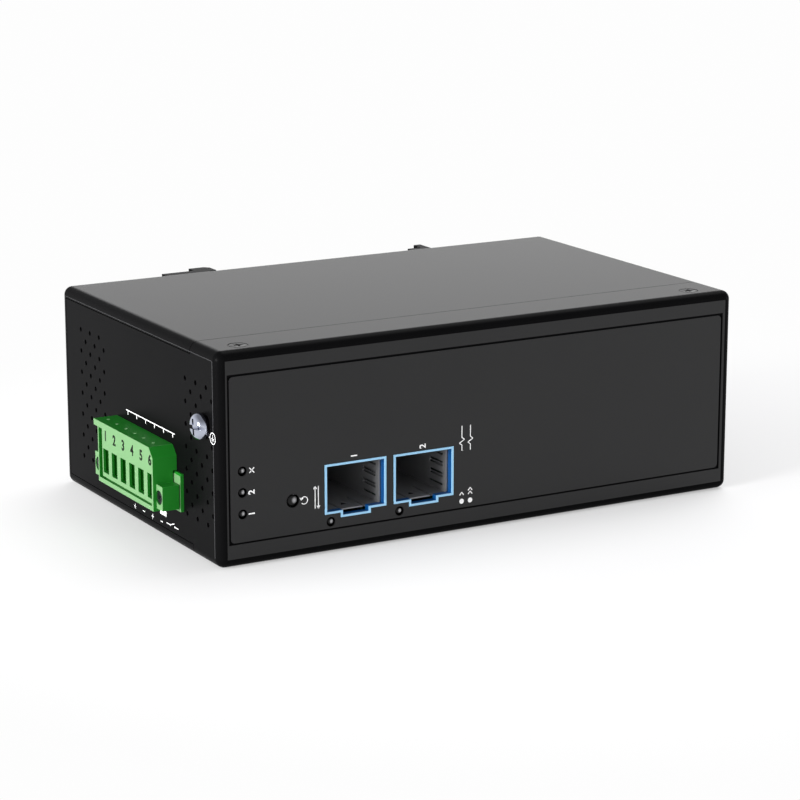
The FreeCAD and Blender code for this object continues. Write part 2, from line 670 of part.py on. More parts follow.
def sfp_cage(index):
    """Folded cage with spring fingers, a latch tongue and pins through the board."""
    body = new_body(f"sfp_cage_{index + 1}", port_centre(index), FRONT, "board_top")
    mouth = "(port_frame_depth + cage_gap)"
    half, inner = "(cage_width / 2)", "(cage_width / 2 - cage_wall)"
    outline = new_sketch(body, "XZ", mouth)
    rectangle(outline, f"-{half}", "0", "cage_width", "cage_height")
    pad(body, outline, "cage_length")
    cavity = new_sketch(body, "XZ", mouth)
    rectangle(cavity, f"-{inner}", "cage_wall", "cage_width - 2 * cage_wall",
              "cage_height - 2 * cage_wall")
    pocket(body, cavity, "cage_length - cage_wall")

    floor = new_sketch(body, "XY", "0")
    tongue, slit = "(latch_tongue_width / 2)", "finger_slit"
    for side in (-1, 1):
        left = f"{side} * {tongue}" if side > 0 else f"-{tongue} - {slit}"
        rectangle(floor, left, mouth, slit, "latch_tongue_length")
    tip = f"{mouth} + latch_tongue_length / 3"
    polygon(floor, (("-latch_window / 2", tip), ("latch_window / 2", tip), ("0", f"{tip} + 0.9 * latch_window")))
    rectangle(floor, "-socket_width / 2 - fit_gap", f"{mouth} + cage_length - cage_wall - socket_length - 2 * fit_gap",
              "socket_width + 2 * fit_gap", "socket_length + 2 * fit_gap")
    pocket(body, floor, "cage_wall")

    slits = new_sketch(body, "YZ", f"-{half}")
    for row in range(int(size("finger_count"))):
        low = f"cage_height / 2 + ({row - (size('finger_count') - 1) / 2}) * finger_pitch - finger_width / 2"
        for edge in (f"{low} - finger_slit", f"{low} + finger_width"):
            rectangle(slits, f"{mouth} + finger_start", edge, "finger_length", "finger_slit")
    pocket(body, slits, "cage_width")

    pins = new_sketch(body, "YZ", f"-{half}")
    for step in CAGE_PIN_STEPS:
        rectangle(pins, f"{mouth} + {step} * cage_length", "-cage_pin_length", "cage_pin_width",
                  "cage_pin_length + cage_wall")
    pad(body, pins, "cage_wall")
    last = body.Tip
    repeat(body, [last], mirror_step(body, "YZ"))
    return body


def cage_fingers():
    """Bowed contact strips that press on the panel, one group round each cage."""
    body = new_body("cage_fingers", port_centre(0), FRONT, "board_top")
    start = "(port_frame_depth + cage_gap + finger_start)"
    reach, bow, wall = "finger_length", "finger_bow", "cage_wall"
    strips = []
    for row in range(int(size("finger_count"))):
        low = f"cage_height / 2 + ({row - (size('finger_count') - 1) / 2}) * finger_pitch - finger_width / 2"
        strip = new_sketch(body, "XY", low)
        face = "(cage_width / 2)"
        polygon(strip, ((face, start), (f"{face} + {bow}", f"{start} + 0.35 * {reach}"),
                        (f"{face} + {bow}", f"{start} + 0.6 * {reach}"), (face, f"{start} + {reach}"),
                        (f"{face}", f"{start} + {reach} - 1.4 * {wall}"),
                        (f"{face} + {bow} - {wall}", f"{start} + 0.6 * {reach} - 0.4 * {wall}"),
                        (f"{face} + {bow} - {wall}", f"{start} + 0.35 * {reach} + 0.4 * {wall}"),
                        (f"{face}", f"{start} + 1.4 * {wall}")))
        strips.append(pad(body, strip, "finger_width"))
    repeat(body, strips, mirror_step(body, "YZ"), line_step(body, "X", "(port_count - 1) * port_pitch", "port_count"))
    return body


def port_connector(index):
    """Edge connector at the back of a cage, where a module's board plugs in."""
    body = new_body(f"port_connector_{index + 1}", port_centre(index), FRONT, "board_top")
    back = "(port_frame_depth + cage_gap + cage_length - cage_wall - fit_gap)"
    block = new_sketch(body, "XZ", f"{back} - socket_length")
    rectangle(block, "-socket_width / 2", "0", "socket_width", "socket_height")
    pad(body, block, "socket_length")
    chamfer(body, "socket_height / 8", lambda edge: at(edge, "z", size("socket_height")) and runs(edge, "x"))
    slot = new_sketch(body, "XZ", f"{back} - socket_length")
    rectangle(slot, "-socket_slot_width / 2", "socket_height / 2 - socket_slot_height / 2 - contact_height",
              "socket_slot_width", "socket_slot_height + 2 * contact_height")
    pocket(body, slot, "socket_slot_depth")
    return body


def port_contacts():
    """Two rows of contact blades in each edge connector."""
    body = new_body("port_contacts", port_centre(0), FRONT, "board_top")
    front = "(port_frame_depth + cage_gap + cage_length - cage_wall - fit_gap - socket_length)"
    blades = []
    for low in ("socket_height / 2 - socket_slot_height / 2 - contact_height",
                "socket_height / 2 + socket_slot_height / 2"):
        blade = new_sketch(body, "XZ", f"{front} + socket_slot_depth / 6")
        rectangle(blade, "-(contact_count - 1) / 2 * contact_pitch - contact_width / 2", low,
                  "contact_width", "contact_height")
        blades.append(pad(body, blade, "socket_slot_depth * 5 / 6"))
    repeat(body, blades, line_step(body, "X", "(contact_count - 1) * contact_pitch", "contact_count"),
           line_step(body, "X", "(port_count - 1) * port_pitch", "port_count"))
    return body


# Lights and reset

def domed_lens(body, length, tip):
    """A round lens along +Y from its tip, bevelled round its front."""
    lens = prism(body, "XZ", tip, "lens_radius", length)
    front = size("lens_sink")
    bevel = chamfer(body, "0.35 * lens_radius", lambda edge: at(edge, "y", front))
    return [lens, bevel]


def status_lights():
    """Three lights stacked beside the reset button."""
    body = new_body("status_lights", f"{END} + status_place", FRONT, "status_low")
    lens = domed_lens(body, "case_wall + 2 * seam_gap", "lens_sink")
    repeat(body, lens, line_step(body, "Z", "(status_count - 1) * status_pitch", "status_count"))
    return body


def status_holder():
    """Black holder that carries the status lights on the board."""
    body = new_body("status_holder", f"{END} + status_place", FRONT)
    side = new_sketch(body, "YZ", "-holder_width / 2")
    front = "(lens_sink + case_wall + 2 * seam_gap)"
    top = "(status_low + (status_count - 1) * status_pitch + holder_width / 2)"
    heel = f"(board_front + holder_depth)"
    polygon(side, ((front, "board_top"), (heel, "board_top"), (heel, f"{top} - holder_depth / 2"),
                   (f"{heel} - holder_depth / 2", top), (front, top)))
    pad(body, side, "holder_width")
    return body


def port_lights():
    """A right-angle light under the board's edge below each port."""
    body = new_body("port_lights", f"{port_centre(0)} - port_light_offset", FRONT, "port_light_place")
    lens = domed_lens(body, "case_wall + 2 * seam_gap", "lens_sink")
    foot = new_sketch(body, "YZ", "-1.3 * lens_radius")
    front = "(lens_sink + case_wall + 2 * seam_gap)"
    sole = "(board_top - board_thickness - port_light_place)"
    edge = "(board_front - fit_gap)"
    polygon(foot, ((front, f"{sole} - 1.6 * lens_radius"), (f"{edge} + 3 * lens_radius", f"{sole} - 1.6 * lens_radius"),
                   (f"{edge} + 3 * lens_radius", sole), (edge, sole), (edge, "1.3 * lens_radius"),
                   (front, "1.3 * lens_radius")))
    heel = pad(body, foot, "2.6 * lens_radius")
    repeat(body, lens + [heel], line_step(body, "X", "(port_count - 1) * port_pitch", "port_count"))
    return body


def reset_switch():
    """Upright switch body on the board, bored for the button's stem."""
    body = new_body("reset_switch", f"{END} + reset_place", FRONT)
    block = new_sketch(body, "XZ", "reset_reach")
    rectangle(block, "-switch_width / 2", "board_top", "switch_width", "reset_rise - board_top + switch_width / 2")
    pad(body, block, "switch_depth")
    fillet(body, "switch_width / 12", lambda edge: runs(edge, "y") and not at(edge, "z", size("board_top")))
    bore = new_sketch(body, "XZ", "reset_reach")
    light_hole(bore, "0", "reset_rise", "reset_radius + switch_bore_gap")
    pocket(body, bore, "switch_depth - case_wall")
    return body


def reset_button():
    """Stem from just behind the panel into the switch, with a shoulder in front of the switch."""
    body = new_body("reset_button", f"{END} + reset_place", FRONT, "reset_rise")
    collar = "(reset_reach - reset_travel - switch_bore_gap)"
    stem = "(reset_reach + switch_depth - case_wall - reset_travel - switch_bore_gap - reset_sink)"
    prism(body, "XZ", "reset_sink", "reset_radius", stem, sides="light_sides")
    front = size("reset_sink")
    chamfer(body, "0.15 * reset_radius", lambda edge: at(edge, "y", front))
    prism(body, "XZ", f"{collar} - reset_radius / 2", "1.5 * reset_radius", "reset_radius / 2")
    return body


# Power terminals and earth

def terminal_header():
    """Shrouded header that stands on the board and shows through the end panel."""
    body = new_body("terminal_header", f"{END} - header_proud", FRONT, "board_top")
    outline = new_sketch(body, "YZ")
    rectangle(outline, "header_front", "0", "header_width", "header_height")
    pad(body, outline, "header_depth")
    shroud = new_sketch(body, "YZ")
    rectangle(shroud, "header_front + ear_width", "header_wall", "header_width - 2 * ear_width",
              "header_height - 2 * header_wall")
    pocket(body, shroud, "header_depth - header_floor")
    bores = new_sketch(body, "YZ")
    for place_along in ("header_front + ear_width / 2", "header_front + header_width - ear_width / 2"):
        small_hole(bores, place_along, "ear_base + ear_height / 2 - board_top",
                   "ear_screw_shank + 2 * screw_clearance")
    for index in range(int(size("pole_count"))):
        rectangle(bores, f"pole_first - {index} * pole_pitch - pin_size / 2",
                  "header_height / 2 - pin_size / 2", "pin_size", "pin_size")
    pocket(body, bores, "header_depth")
    chamfer(body, "header_wall / 3", lambda edge: at(edge, "x", 0) and runs(edge, "y")
            and at(edge, "z", size("header_height")))
    return body


def header_pins():
    """One bent pin for each pole, from the shroud down through the board."""
    body = new_body("header_pins", END, f"{FRONT} + pole_first", "board_top")
    side = new_sketch(body, "XZ", "-pin_size / 2")
    low, high = "(header_height / 2 - pin_size / 2)", "(header_height / 2 + pin_size / 2)"
    tip, heel = "(2.5 * pin_size)", "(header_depth - header_proud + 1.5 * pin_size)"
    foot = "(-board_thickness - pin_size)"
    polygon(side, ((tip, low), (f"{heel} - pin_size", low), (f"{heel} - pin_size", foot), (heel, foot),
                   (heel, high), (tip, high)))
    bent = pad(body, side, "pin_size")
    repeat(body, [bent], towards_front(body))
    return body


def towards_front(body):
    """The row of poles, which runs towards the front panel from the first one."""
    step = line_step(body, "Y", "(pole_count - 1) * pole_pitch", "pole_count")
    step.Reversed = True
    return step


def pole(index):
    return f"(pole_first - {index} * pole_pitch)"


def terminal_plug():
    """Pluggable block with wire windows, a stacking lip, screw ears and a nose in the header."""
    body = new_body("terminal_plug", END, FRONT)
    low, high = "plug_front", "(plug_front + plug_width)"
    top, eave = "(plug_base + plug_height)", "(plug_base + plug_height - plug_lip_height)"
    front = new_sketch(body, "YZ", "-plug_proud")
    polygon(front, ((low, "plug_base"), (high, "plug_base"), (high, eave), (f"{high} + plug_lip_shift", eave),
                    (f"{high} + plug_lip_shift", top), (f"{low} + plug_lip_shift", top), (low, eave)))
    pad(body, front, "plug_proud - header_proud - fit_gap")
    upper = new_sketch(body, "YZ", "-header_proud - fit_gap")
    over = "(board_top + header_height + fit_gap)"
    polygon(upper, ((low, over), (high, over), (high, eave), (f"{high} + plug_lip_shift", eave),
                    (f"{high} + plug_lip_shift", top), (f"{low} + plug_lip_shift", top), (low, eave)))
    pad(body, upper, "header_proud")
    nose = new_sketch(body, "YZ", "-header_proud - fit_gap")
    rectangle(nose, "header_front + ear_width + plug_nose_gap", "board_top + header_wall + plug_nose_gap",
              "header_width - 2 * ear_width - 2 * plug_nose_gap",
              "header_height - 2 * header_wall - 2 * plug_nose_gap")
    pad(body, nose, "plug_nose_length")

    windows = new_sketch(body, "YZ", "-plug_proud")
    for index in range(int(size("pole_count"))):
        wide = f"min({pole(index)} - plug_front - window_end_wall; window_width / 2)"
        rectangle(windows, f"{pole(index)} - {wide}", "window_base", f"{wide} + window_width / 2", "window_height")
    pocket(body, windows, "window_depth")
    groove = new_sketch(body, "YZ", "-plug_proud")
    right, left = "(plug_front + groove_edge)", f"({high} - groove_edge)"
    sole = "(plug_base + 2 * groove_edge)"
    polygon(groove, ((right, sole), (left, sole), (left, eave), (f"{left} - groove_width", eave),
                     (f"{left} - groove_width", f"{sole} + groove_height"), (right, f"{sole} + groove_height")))
    pocket(body, groove, "groove_depth")

    sockets = new_sketch(body, "YZ", "plug_nose_length - header_proud - fit_gap")
    for index in range(int(size("pole_count"))):
        rectangle(sockets, f"{pole(index)} - 0.8 * pin_size", "board_top + header_height / 2 - 0.8 * pin_size",
                  "1.6 * pin_size", "1.6 * pin_size")
    pocket(body, sockets, "plug_nose_length - pin_size", -1)
    probes = new_sketch(body, "XY", top)
    for index in range(int(size("pole_count"))):
        small_hole(probes, "-0.58 * plug_proud", f"{pole(index)} + probe_shift", "probe_radius")
    pocket(body, probes, "3 * probe_radius", -1)

    ears = new_sketch(body, "YZ", "ear_sink - plug_proud")
    rectangle(ears, "header_front", "ear_base", "plug_front + window_end_wall - header_front", "ear_height")
    rectangle(ears, f"{high} - window_end_wall", "ear_base",
              f"header_front + header_width - {high} + window_end_wall", "ear_height")
    pad(body, ears, "plug_proud - ear_sink - header_proud - fit_gap")
    bores = new_sketch(body, "YZ", "ear_sink - plug_proud")
    for middle in ("header_front + ear_width / 2", "header_front + header_width - ear_width / 2"):
        small_hole(bores, middle, "ear_base + ear_height / 2", "ear_screw_shank + 2 * screw_clearance")
    pocket(body, bores, "plug_proud")
    seats = new_sketch(body, "YZ", "ear_sink - plug_proud")
    for middle in ("header_front + ear_width / 2", "header_front + header_width - ear_width / 2"):
        light_hole(seats, middle, "ear_base + ear_height / 2", "ear_screw_head + screw_clearance")
    pocket(body, seats, "ear_screw_head")
    return body


def plug_contacts():
    """One forked contact in each of the plug's sockets, round the header's pin."""
    body = new_body("plug_contacts", END, f"{FRONT} + pole_first", "board_top + header_height / 2")
    side = new_sketch(body, "XZ", "-pin_size / 2")
    web, stop = "(pin_size - header_proud + fit_gap)", "(plug_nose_length - header_proud - pin_size)"
    near, far = "(pin_size / 2 + fit_gap)", "(0.75 * pin_size)"
    polygon(side, ((web, f"-{far}"), (stop, f"-{far}"), (stop, f"-{near}"), (f"{web} + pin_size / 4", f"-{near}"),
                   (f"{web} + pin_size / 4", near), (stop, near), (stop, far), (web, far)))
    fork = pad(body, side, "pin_size")
    repeat(body, [fork], towards_front(body))
    return body


def flange_screws():
    """Two captive screws that hold the plug's ears to the header."""
    body = new_body("flange_screws", END, f"{FRONT} + header_front + ear_width / 2", "ear_base + ear_height / 2")
    front = "(ear_sink - plug_proud + fit_gap)"
    head = prism(body, "YZ", front, "ear_screw_head", "ear_screw_head - 2 * fit_gap", sides="light_sides")
    stem = prism(body, "YZ", front, "ear_screw_shank", "ear_screw_length", sides="hole_sides")
    cross = new_sketch(body, "YZ", front)
    cross_outline(cross, "0.75 * ear_screw_head", "slot_width / 4")
    recess = pocket(body, cross, "ear_screw_head / 2")
    repeat(body, [head, stem, recess], line_step(body, "Y", "header_width - ear_width", 2))
    return body


def earth_screw():
    """Plated pan-head earth screw with a driver slot and cross."""
    body = new_body("earth_screw", END, f"{FRONT} + earth_place", "earth_rise")
    half = new_sketch(body, "XY")
    seat, crown = "(-earth_washer_thickness)", "(-earth_washer_thickness - earth_head_height)"
    tip = "(case_wall + earth_nut_length + seam_gap)"
    polygon(half, ((crown, "0"), (f"{crown} + 0.2 * earth_head_height", "0.7 * earth_head"),
                   (f"{seat} - 0.35 * earth_head_height", "earth_head"), (seat, "earth_head"),
                   (seat, "earth_shank"), (tip, "earth_shank"), (tip, "0")))
    revolve(body, half, "H_Axis")
    slot = new_sketch(body, "YZ", crown)
    rectangle(slot, "-earth_head", "-slot_width / 2", "2 * earth_head", "slot_width")
    pocket(body, slot, "0.4 * earth_head_height")
    cross = new_sketch(body, "YZ", crown)
    rectangle(cross, "-slot_width / 2", "-0.55 * earth_head", "slot_width", "1.1 * earth_head")
    pocket(body, cross, "0.55 * earth_head_height")
    return body


def earth_washer():
    """Square clamping washer under the earth screw's head."""
    body = new_body("earth_washer", END, f"{FRONT} + earth_place", "earth_rise")
    flat = new_sketch(body, "YZ", "-earth_washer_thickness")
    corner, half = "earth_washer", "(earth_washer * 0.72)"
    polygon(flat, ((f"-{half}", f"-{half}"), ("0", f"-{corner}"), (half, f"-{half}"), (corner, "0"),
                   (half, half), ("0", corner), (f"-{half}", half), (f"-{corner}", "0")))
    small_hole(flat, "0", "0", "earth_shank + 2 * screw_clearance")
    pad(body, flat, "earth_washer_thickness")
    return body


def earth_nut():
    """Clinch nut behind the end panel."""
    body = new_body("earth_nut", f"{END} + case_wall", f"{FRONT} + earth_place", "earth_rise")
    flat = new_sketch(body, "YZ")
    disc(flat, "0", "0", "earth_nut", 6)
    small_hole(flat, "0", "0", "earth_shank + 2 * screw_clearance")
    pad(body, flat, "earth_nut_length")
    return body


# Board and what stands on it

def main_board():
    """Circuit board with slots under the latch tongues and holes for its posts."""
    body = new_body("main_board", "0", "0", "board_top - board_thickness")
    plate = new_sketch(body, "XY")
    side = f"({END} + case_wall + board_side)"
    rectangle(plate, side, f"{FRONT} + board_front", "case_length - 2 * case_wall - 2 * board_side",
              "case_depth - board_front - board_back")
    pad(body, plate, "board_thickness")
    slots = new_sketch(body, "XY")
    for index in range(int(size("port_count"))):
        rectangle(slots, f"{port_centre(index)} - board_slot_width / 2", FRONT, "board_slot_width",
                  "port_frame_depth + cage_gap + latch_tongue_length + board_front")
    pocket(body, slots, "board_thickness")
    for step in CAGE_PIN_STEPS:
        pins = new_sketch(body, "XY")
        for sign in (-1, 1):
            rectangle(pins, f"{port_centre(0)} + {sign} * (cage_width / 2 - cage_wall / 2) - cage_wall",
                      f"{FRONT} + port_frame_depth + cage_gap + {step} * cage_length - cage_wall",
                      "2 * cage_wall", "cage_pin_width + 2 * cage_wall")
        repeat(body, [pocket(body, pins, "board_thickness")],
               line_step(body, "X", "(port_count - 1) * port_pitch", "port_count"))
    poles = new_sketch(body, "XY")
    small_hole(poles, f"{END} + header_depth - header_proud + pin_size", f"{FRONT} + pole_first", "0.9 * pin_size")
    repeat(body, [pocket(body, poles, "board_thickness")], towards_front(body))
    bolts = new_sketch(body, "XY")
    x, y = post_places()[0]
    small_hole(bolts, x, y, "post_screw_radius + 2 * screw_clearance")
    repeat(body, [pocket(body, bolts, "board_thickness")], *post_steps(body))
    return body


def post_steps(body):
    """The four posts are a grid that starts at the terminal end's front one."""
    return line_step(body, "X", "case_length - 2 * post_side", 2), line_step(body, "Y", "post_spacing", 2)


def board_posts():
    """Four threaded posts, clinched into the resting side, that carry the board."""
    x, y = post_places()[0]
    body = new_body("board_posts", x, y)
    stub, bush = "case_wall", "board_top - board_thickness - case_wall"
    outside = [prism(body, "XY", "fit_gap", "post_stub", stub, sides="hole_sides"),
               prism(body, "XY", "case_wall", "post_radius", bush, sides="hole_sides")]
    bore = new_sketch(body, "XY")
    small_hole(bore, "0", "0", "post_screw_radius + fit_gap")
    repeat(body, outside + [pocket(body, bore, "board_top")], *post_steps(body))
    return body


def board_screws():
    """Four pan-head screws through the board into its posts."""
    x, y = post_places()[0]
    body = new_body("board_screws", x, y, "board_top")
    head = prism(body, "XY", "0", "post_screw_head", "0.7 * post_screw_head")
    stem = prism(body, "XY", "0", "post_screw_radius", "board_thickness + post_radius", -1,
                 sides="hole_sides")
    repeat(body, [head, stem], *post_steps(body))
    return body


def board_block(label, along, back, width, depth, height, bevel):
    """A box-shaped component on the board with bevelled upper edges; along and back place its corner."""
    body = new_body(label, f"{END} + {along}", f"{FRONT} + {back}", "board_top")
    base = new_sketch(body, "XY")
    rectangle(base, "0", "0", width, depth)
    block = pad(body, base, height)
    doc.recompute()
    top = body.Tip.Shape.BoundBox.ZMax
    edges = chamfer(body, bevel, lambda edge: at(edge, "z", top))
    return body, [block, edges]


def switch_chip():
    body, _ = board_block("switch_chip", "(chip_place - chip_size / 2)", "(chip_depth - chip_size / 2)",
                          "chip_size", "chip_size", "chip_height", "chip_height / 6")
    return body


def heat_sink():
    """Finned heat sink that lies on the switch chip."""
    body = new_body("heat_sink", f"{END} + chip_place", f"{FRONT} + chip_depth", "board_top + chip_height")
    base = new_sketch(body, "XY")
    rectangle(base, "-sink_size / 2", "-sink_size / 2", "sink_size", "sink_size")
    pad(body, base, "sink_base")
    fin = new_sketch(body, "XY", "sink_base")
    rectangle(fin, "-sink_size / 2", "-sink_size / 2", "fin_thickness", "sink_size")
    blade = pad(body, fin, "fin_height")
    repeat(body, [blade], line_step(body, "X", "sink_size - fin_thickness", "fin_count"))
    return body


def alarm_relay():
    body, _ = board_block("alarm_relay", "relay_place", "relay_back", "relay_width", "relay_length", "relay_height",
                          "relay_height / 14")
    return body


def power_coils():
    """Two square power coils in a row."""
    body, features = board_block("power_coils", "coil_place", "coil_back", "coil_size", "coil_size", "coil_height",
                                 "coil_height / 5")
    repeat(body, features, line_step(body, "X", "coil_pitch", 2))
    return body


def capacitors():
    """Round cans in a row along Y."""
    body = new_body("capacitors", f"{END} + can_place", f"{FRONT} + can_back", "board_top")
    can = prism(body, "XY", "0", "can_radius", "can_height", sides="light_sides")
    top = size("can_height")
    bevel = chamfer(body, "0.08 * can_radius", lambda edge: at(edge, "z", top))
    repeat(body, [can, bevel], line_step(body, "Y", "(can_count - 1) * can_pitch", "can_count"))
    return body


def transformer():
    """Isolating transformer: a wound bobbin between the halves of its core."""
    body = new_body("transformer", f"{END} + core_place", f"{FRONT} + core_back", "board_top")
    base = new_sketch(body, "XY")
    rectangle(base, "0", "0", "core_size", "core_size")
    pad(body, base, "core_height")
    waist = new_sketch(body, "XY", "core_height")
    for near in ("0", "0.85 * core_size"):
        rectangle(waist, near, "0.25 * core_size", "0.15 * core_size", "0.5 * core_size")
    pocket(body, waist, "0.8 * core_height", -1)
    return body


def board_chips():
    """A row of small flat chips beside the switch chip."""
    body, features = board_block("board_chips", "flat_chip_place", "flat_chip_back", "flat_chip_width",
                                 "flat_chip_length", "flat_chip_height", "flat_chip_height / 5")
    repeat(body, features, line_step(body, "X", "(flat_chip_count - 1) * flat_chip_pitch", "flat_chip_count"))
    return body


# Rail clip

def rail_clip():
    """Base plate on the back with a fixed hook, latch guides and a lug for the latch spring."""
    body = new_body("rail_clip", END, BACK, "clip_margin")
    width = "(case_thickness - 2 * clip_margin)"
    low = "(rail_centre - rail_width / 2)"
    seat, roof = "clip_plate", "(clip_plate + rail_gap)"
    side = new_sketch(body, "XY")
    shoulder = "(clip_start + hook_shoulder_length)"
    tip = f"({low} + hook_grip)"
    polygon(side, (("clip_start", "0"), ("clip_end", "0"), ("clip_end", seat), (f"{low} - rail_room", seat),
                   (f"{low} - rail_room", roof), (tip, roof), (tip, "hook_height - hook_bevel"),
                   (f"{tip} - hook_bevel", "hook_height"), (shoulder, "hook_height"), (shoulder, "hook_shoulder"),
                   ("clip_start", "hook_shoulder")))
    pad(body, side, width)
    guides = new_sketch(body, "YZ", "guide_start")
    inner = "(latch_width / 2 + latch_gap)"
    lip = "(clip_plate + latch_plate + 2 * latch_gap)"
    centre = f"({width} / 2)"
    for sign in (-1, 1):
        reach = f"({centre} + {sign} * ({inner} - guide_lip))"
        polygon(guides, (("clip_plate / 2", f"{centre} + {sign} * {inner}"), (lip, f"{centre} + {sign} * {inner}"),
                         (lip, reach), (f"{lip} + 0.75 * guide_wall", reach),
                         (f"{lip} + 0.75 * guide_wall", f"{centre} + {sign} * ({inner} + guide_wall)"),
                         ("clip_plate / 2", f"{centre} + {sign} * ({inner} + guide_wall)")))
    pad(body, guides, "clip_end - guide_start - guide_wall")
    lug = new_sketch(body, "XZ", "clip_plate / 2")
    rectangle(lug, "spring_start + spring_length", f"{centre} - lug_width / 2", "lug_thickness", "lug_width")
    pad(body, lug, "latch_height - clip_plate / 2 - latch_gap")
    places = [(f"rail_centre + {along} * clip_screw_spacing / 2", f"{centre} + {rise} * clip_screw_rise / 2")
              for along in (-1, 1) for rise in (-1, 1)]
    countersink(body, "XZ", "y", "clip_plate", places, "clip_screw_head", "clip_screw_shank", -1)
    return body


def rail_latch():
    """Sliding latch with a sloped nose over the rail's flange and a pull tab past the plate."""
    body = new_body("rail_latch", END, BACK, MIDDLE)
    high = "(rail_centre + rail_width / 2)"
    under, seat = "(clip_plate + rail_gap)", "(clip_plate + latch_gap)"
    crown, deck = "latch_height", f"({seat} + latch_plate)"
    plate = new_sketch(body, "XY", "-latch_width / 2")
    edge = f"({high} + rail_room)"
    polygon(plate, ((edge, seat), ("latch_end", seat), ("latch_end", deck), (edge, deck)))
    pad(body, plate, "latch_width")
    rib = new_sketch(body, "XY", "-latch_rib / 2")
    nose = f"({high} - hook_grip)"
    rib_end = "(latch_end - latch_tab - latch_gap)"
    polygon(rib, ((edge, seat), (rib_end, seat), (rib_end, crown), (f"{nose} + {crown} - {under} - latch_gap", crown),
                  (nose, f"{under} + latch_gap"), (nose, under), (edge, under)))
    pad(body, rib, "latch_rib")
    tab = new_sketch(body, "XY", "clip_margin - case_thickness / 2")
    outer = "(latch_end - latch_tab)"
    lift = "hook_height"
    polygon(tab, ((outer, seat), ("latch_end", seat), ("latch_end", lift), ("latch_end - latch_tab_wall", lift),
                  ("latch_end - latch_tab_wall", deck), (outer, deck)))
    pad(body, tab, "case_thickness - 2 * clip_margin")
    opening = new_sketch(body, "XZ", "clip_plate")
    rectangle(opening, "spring_start", "-spring_window / 2", "spring_length + lug_thickness + latch_gap",
              "spring_window")
    pocket(body, opening, "latch_height")
    return body


def latch_spring():
    """Coil spring between the latch's window and the clip's lug."""
    spring = doc.addObject("Part::Feature", "latch_spring")
    spring.Label = "latch_spring"
    wire, coil, turns = size("spring_wire"), size("spring_radius"), int(size("spring_turns"))
    steps = int(size("spring_steps"))
    run = size("spring_length") - 2 * wire - 4 * size("fit_gap")
    corners = [Vector(coil * math.cos(2 * math.pi * i / steps), coil * math.sin(2 * math.pi * i / steps),
                      run * i / (steps * turns)) for i in range(steps * turns + 1)]
    start = Part.Wire(Part.makePolygon([corners[0] + Vector(wire * math.cos(math.pi * i / 2), 0, wire * math.sin(math.pi * i / 2))
                                        for i in range(5)]))
    spring.Shape = Part.makePolygon(corners).makePipeShell([start], True, True, 1)
    spring.Placement = FreeCAD.Placement(Vector(), FreeCAD.Rotation(Vector(0, 1, 0), 90))
    axis = "(clip_plate + (latch_height - clip_plate) / 2)"
    place(spring, f"{END} + spring_start + spring_wire + 2 * fit_gap", f"{BACK} + {axis}", MIDDLE)
    return spring


def clip_screws():
    """Four countersunk screws that hold the clip to the back."""
    x, z = clip_screw_places()[0]
    body = new_body("clip_screws", x, BACK, z)
    countersunk_screws(body, "XZ", "y", "clip_plate", size("clip_plate"), "clip_screw",
                       lambda: (line_step(body, "X", "clip_screw_spacing", 2),
                                line_step(body, "Z", "clip_screw_rise", 2)))
    return body


def post_places():
    """Centres of the board posts as pairs of formulas."""
    side = "case_length / 2 - post_side"
    return [(f"{sign} * ({side})", f"{FRONT} + post_front + {row} * post_spacing") for sign in (-1, 1) for row in (0, 1)]


def clip_screw_places():
    """Centres of the clip screws as pairs of formulas."""
    return [(f"{END} + rail_centre + {along} * clip_screw_spacing / 2", f"{MIDDLE} + {rise} * clip_screw_rise / 2")
            for along in (-1, 1) for rise in (-1, 1)]


PARTS = (front_chassis, rear_cover, front_overlay, cover_screws, cage_fingers, port_contacts, status_lights,
         status_holder, port_lights, reset_switch, reset_button, terminal_header, header_pins, terminal_plug,
         plug_contacts, flange_screws, earth_screw, earth_washer, earth_nut, main_board, board_posts,
         board_screws, switch_chip, heat_sink, alarm_relay, power_coils, capacitors, transformer, board_chips,
         rail_clip, rail_latch, latch_spring, clip_screws)
PORT_PARTS = (port_frame, sfp_cage, port_connector)


def main():
    made = [make() for make in PARTS]
    made += [make(index) for make in PORT_PARTS for index in range(int(size("port_count")))]
    doc.recompute()
    for item in doc.Objects:
        assert not {"Invalid", "Error"} & set(item.State), f"{item.Name} failed"
    os.makedirs("parts", exist_ok=True)
    for item in made:
        assert not item.Shape.isNull() and item.Shape.isValid(), f"{item.Label} has no valid shape"
    for item in made:
        item.Shape.exportStep(f"parts/{item.Label}.step")
        box = item.Shape.BoundBox
        print(f"{item.Label}: {len(item.Shape.Solids)} solids, {item.Shape.Volume:.1f} mm3, "
              f"{box.XLength:.2f} x {box.YLength:.2f} x {box.ZLength:.2f}")


main()
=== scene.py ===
import json
import math

import bpy
from mathutils import Matrix, Vector


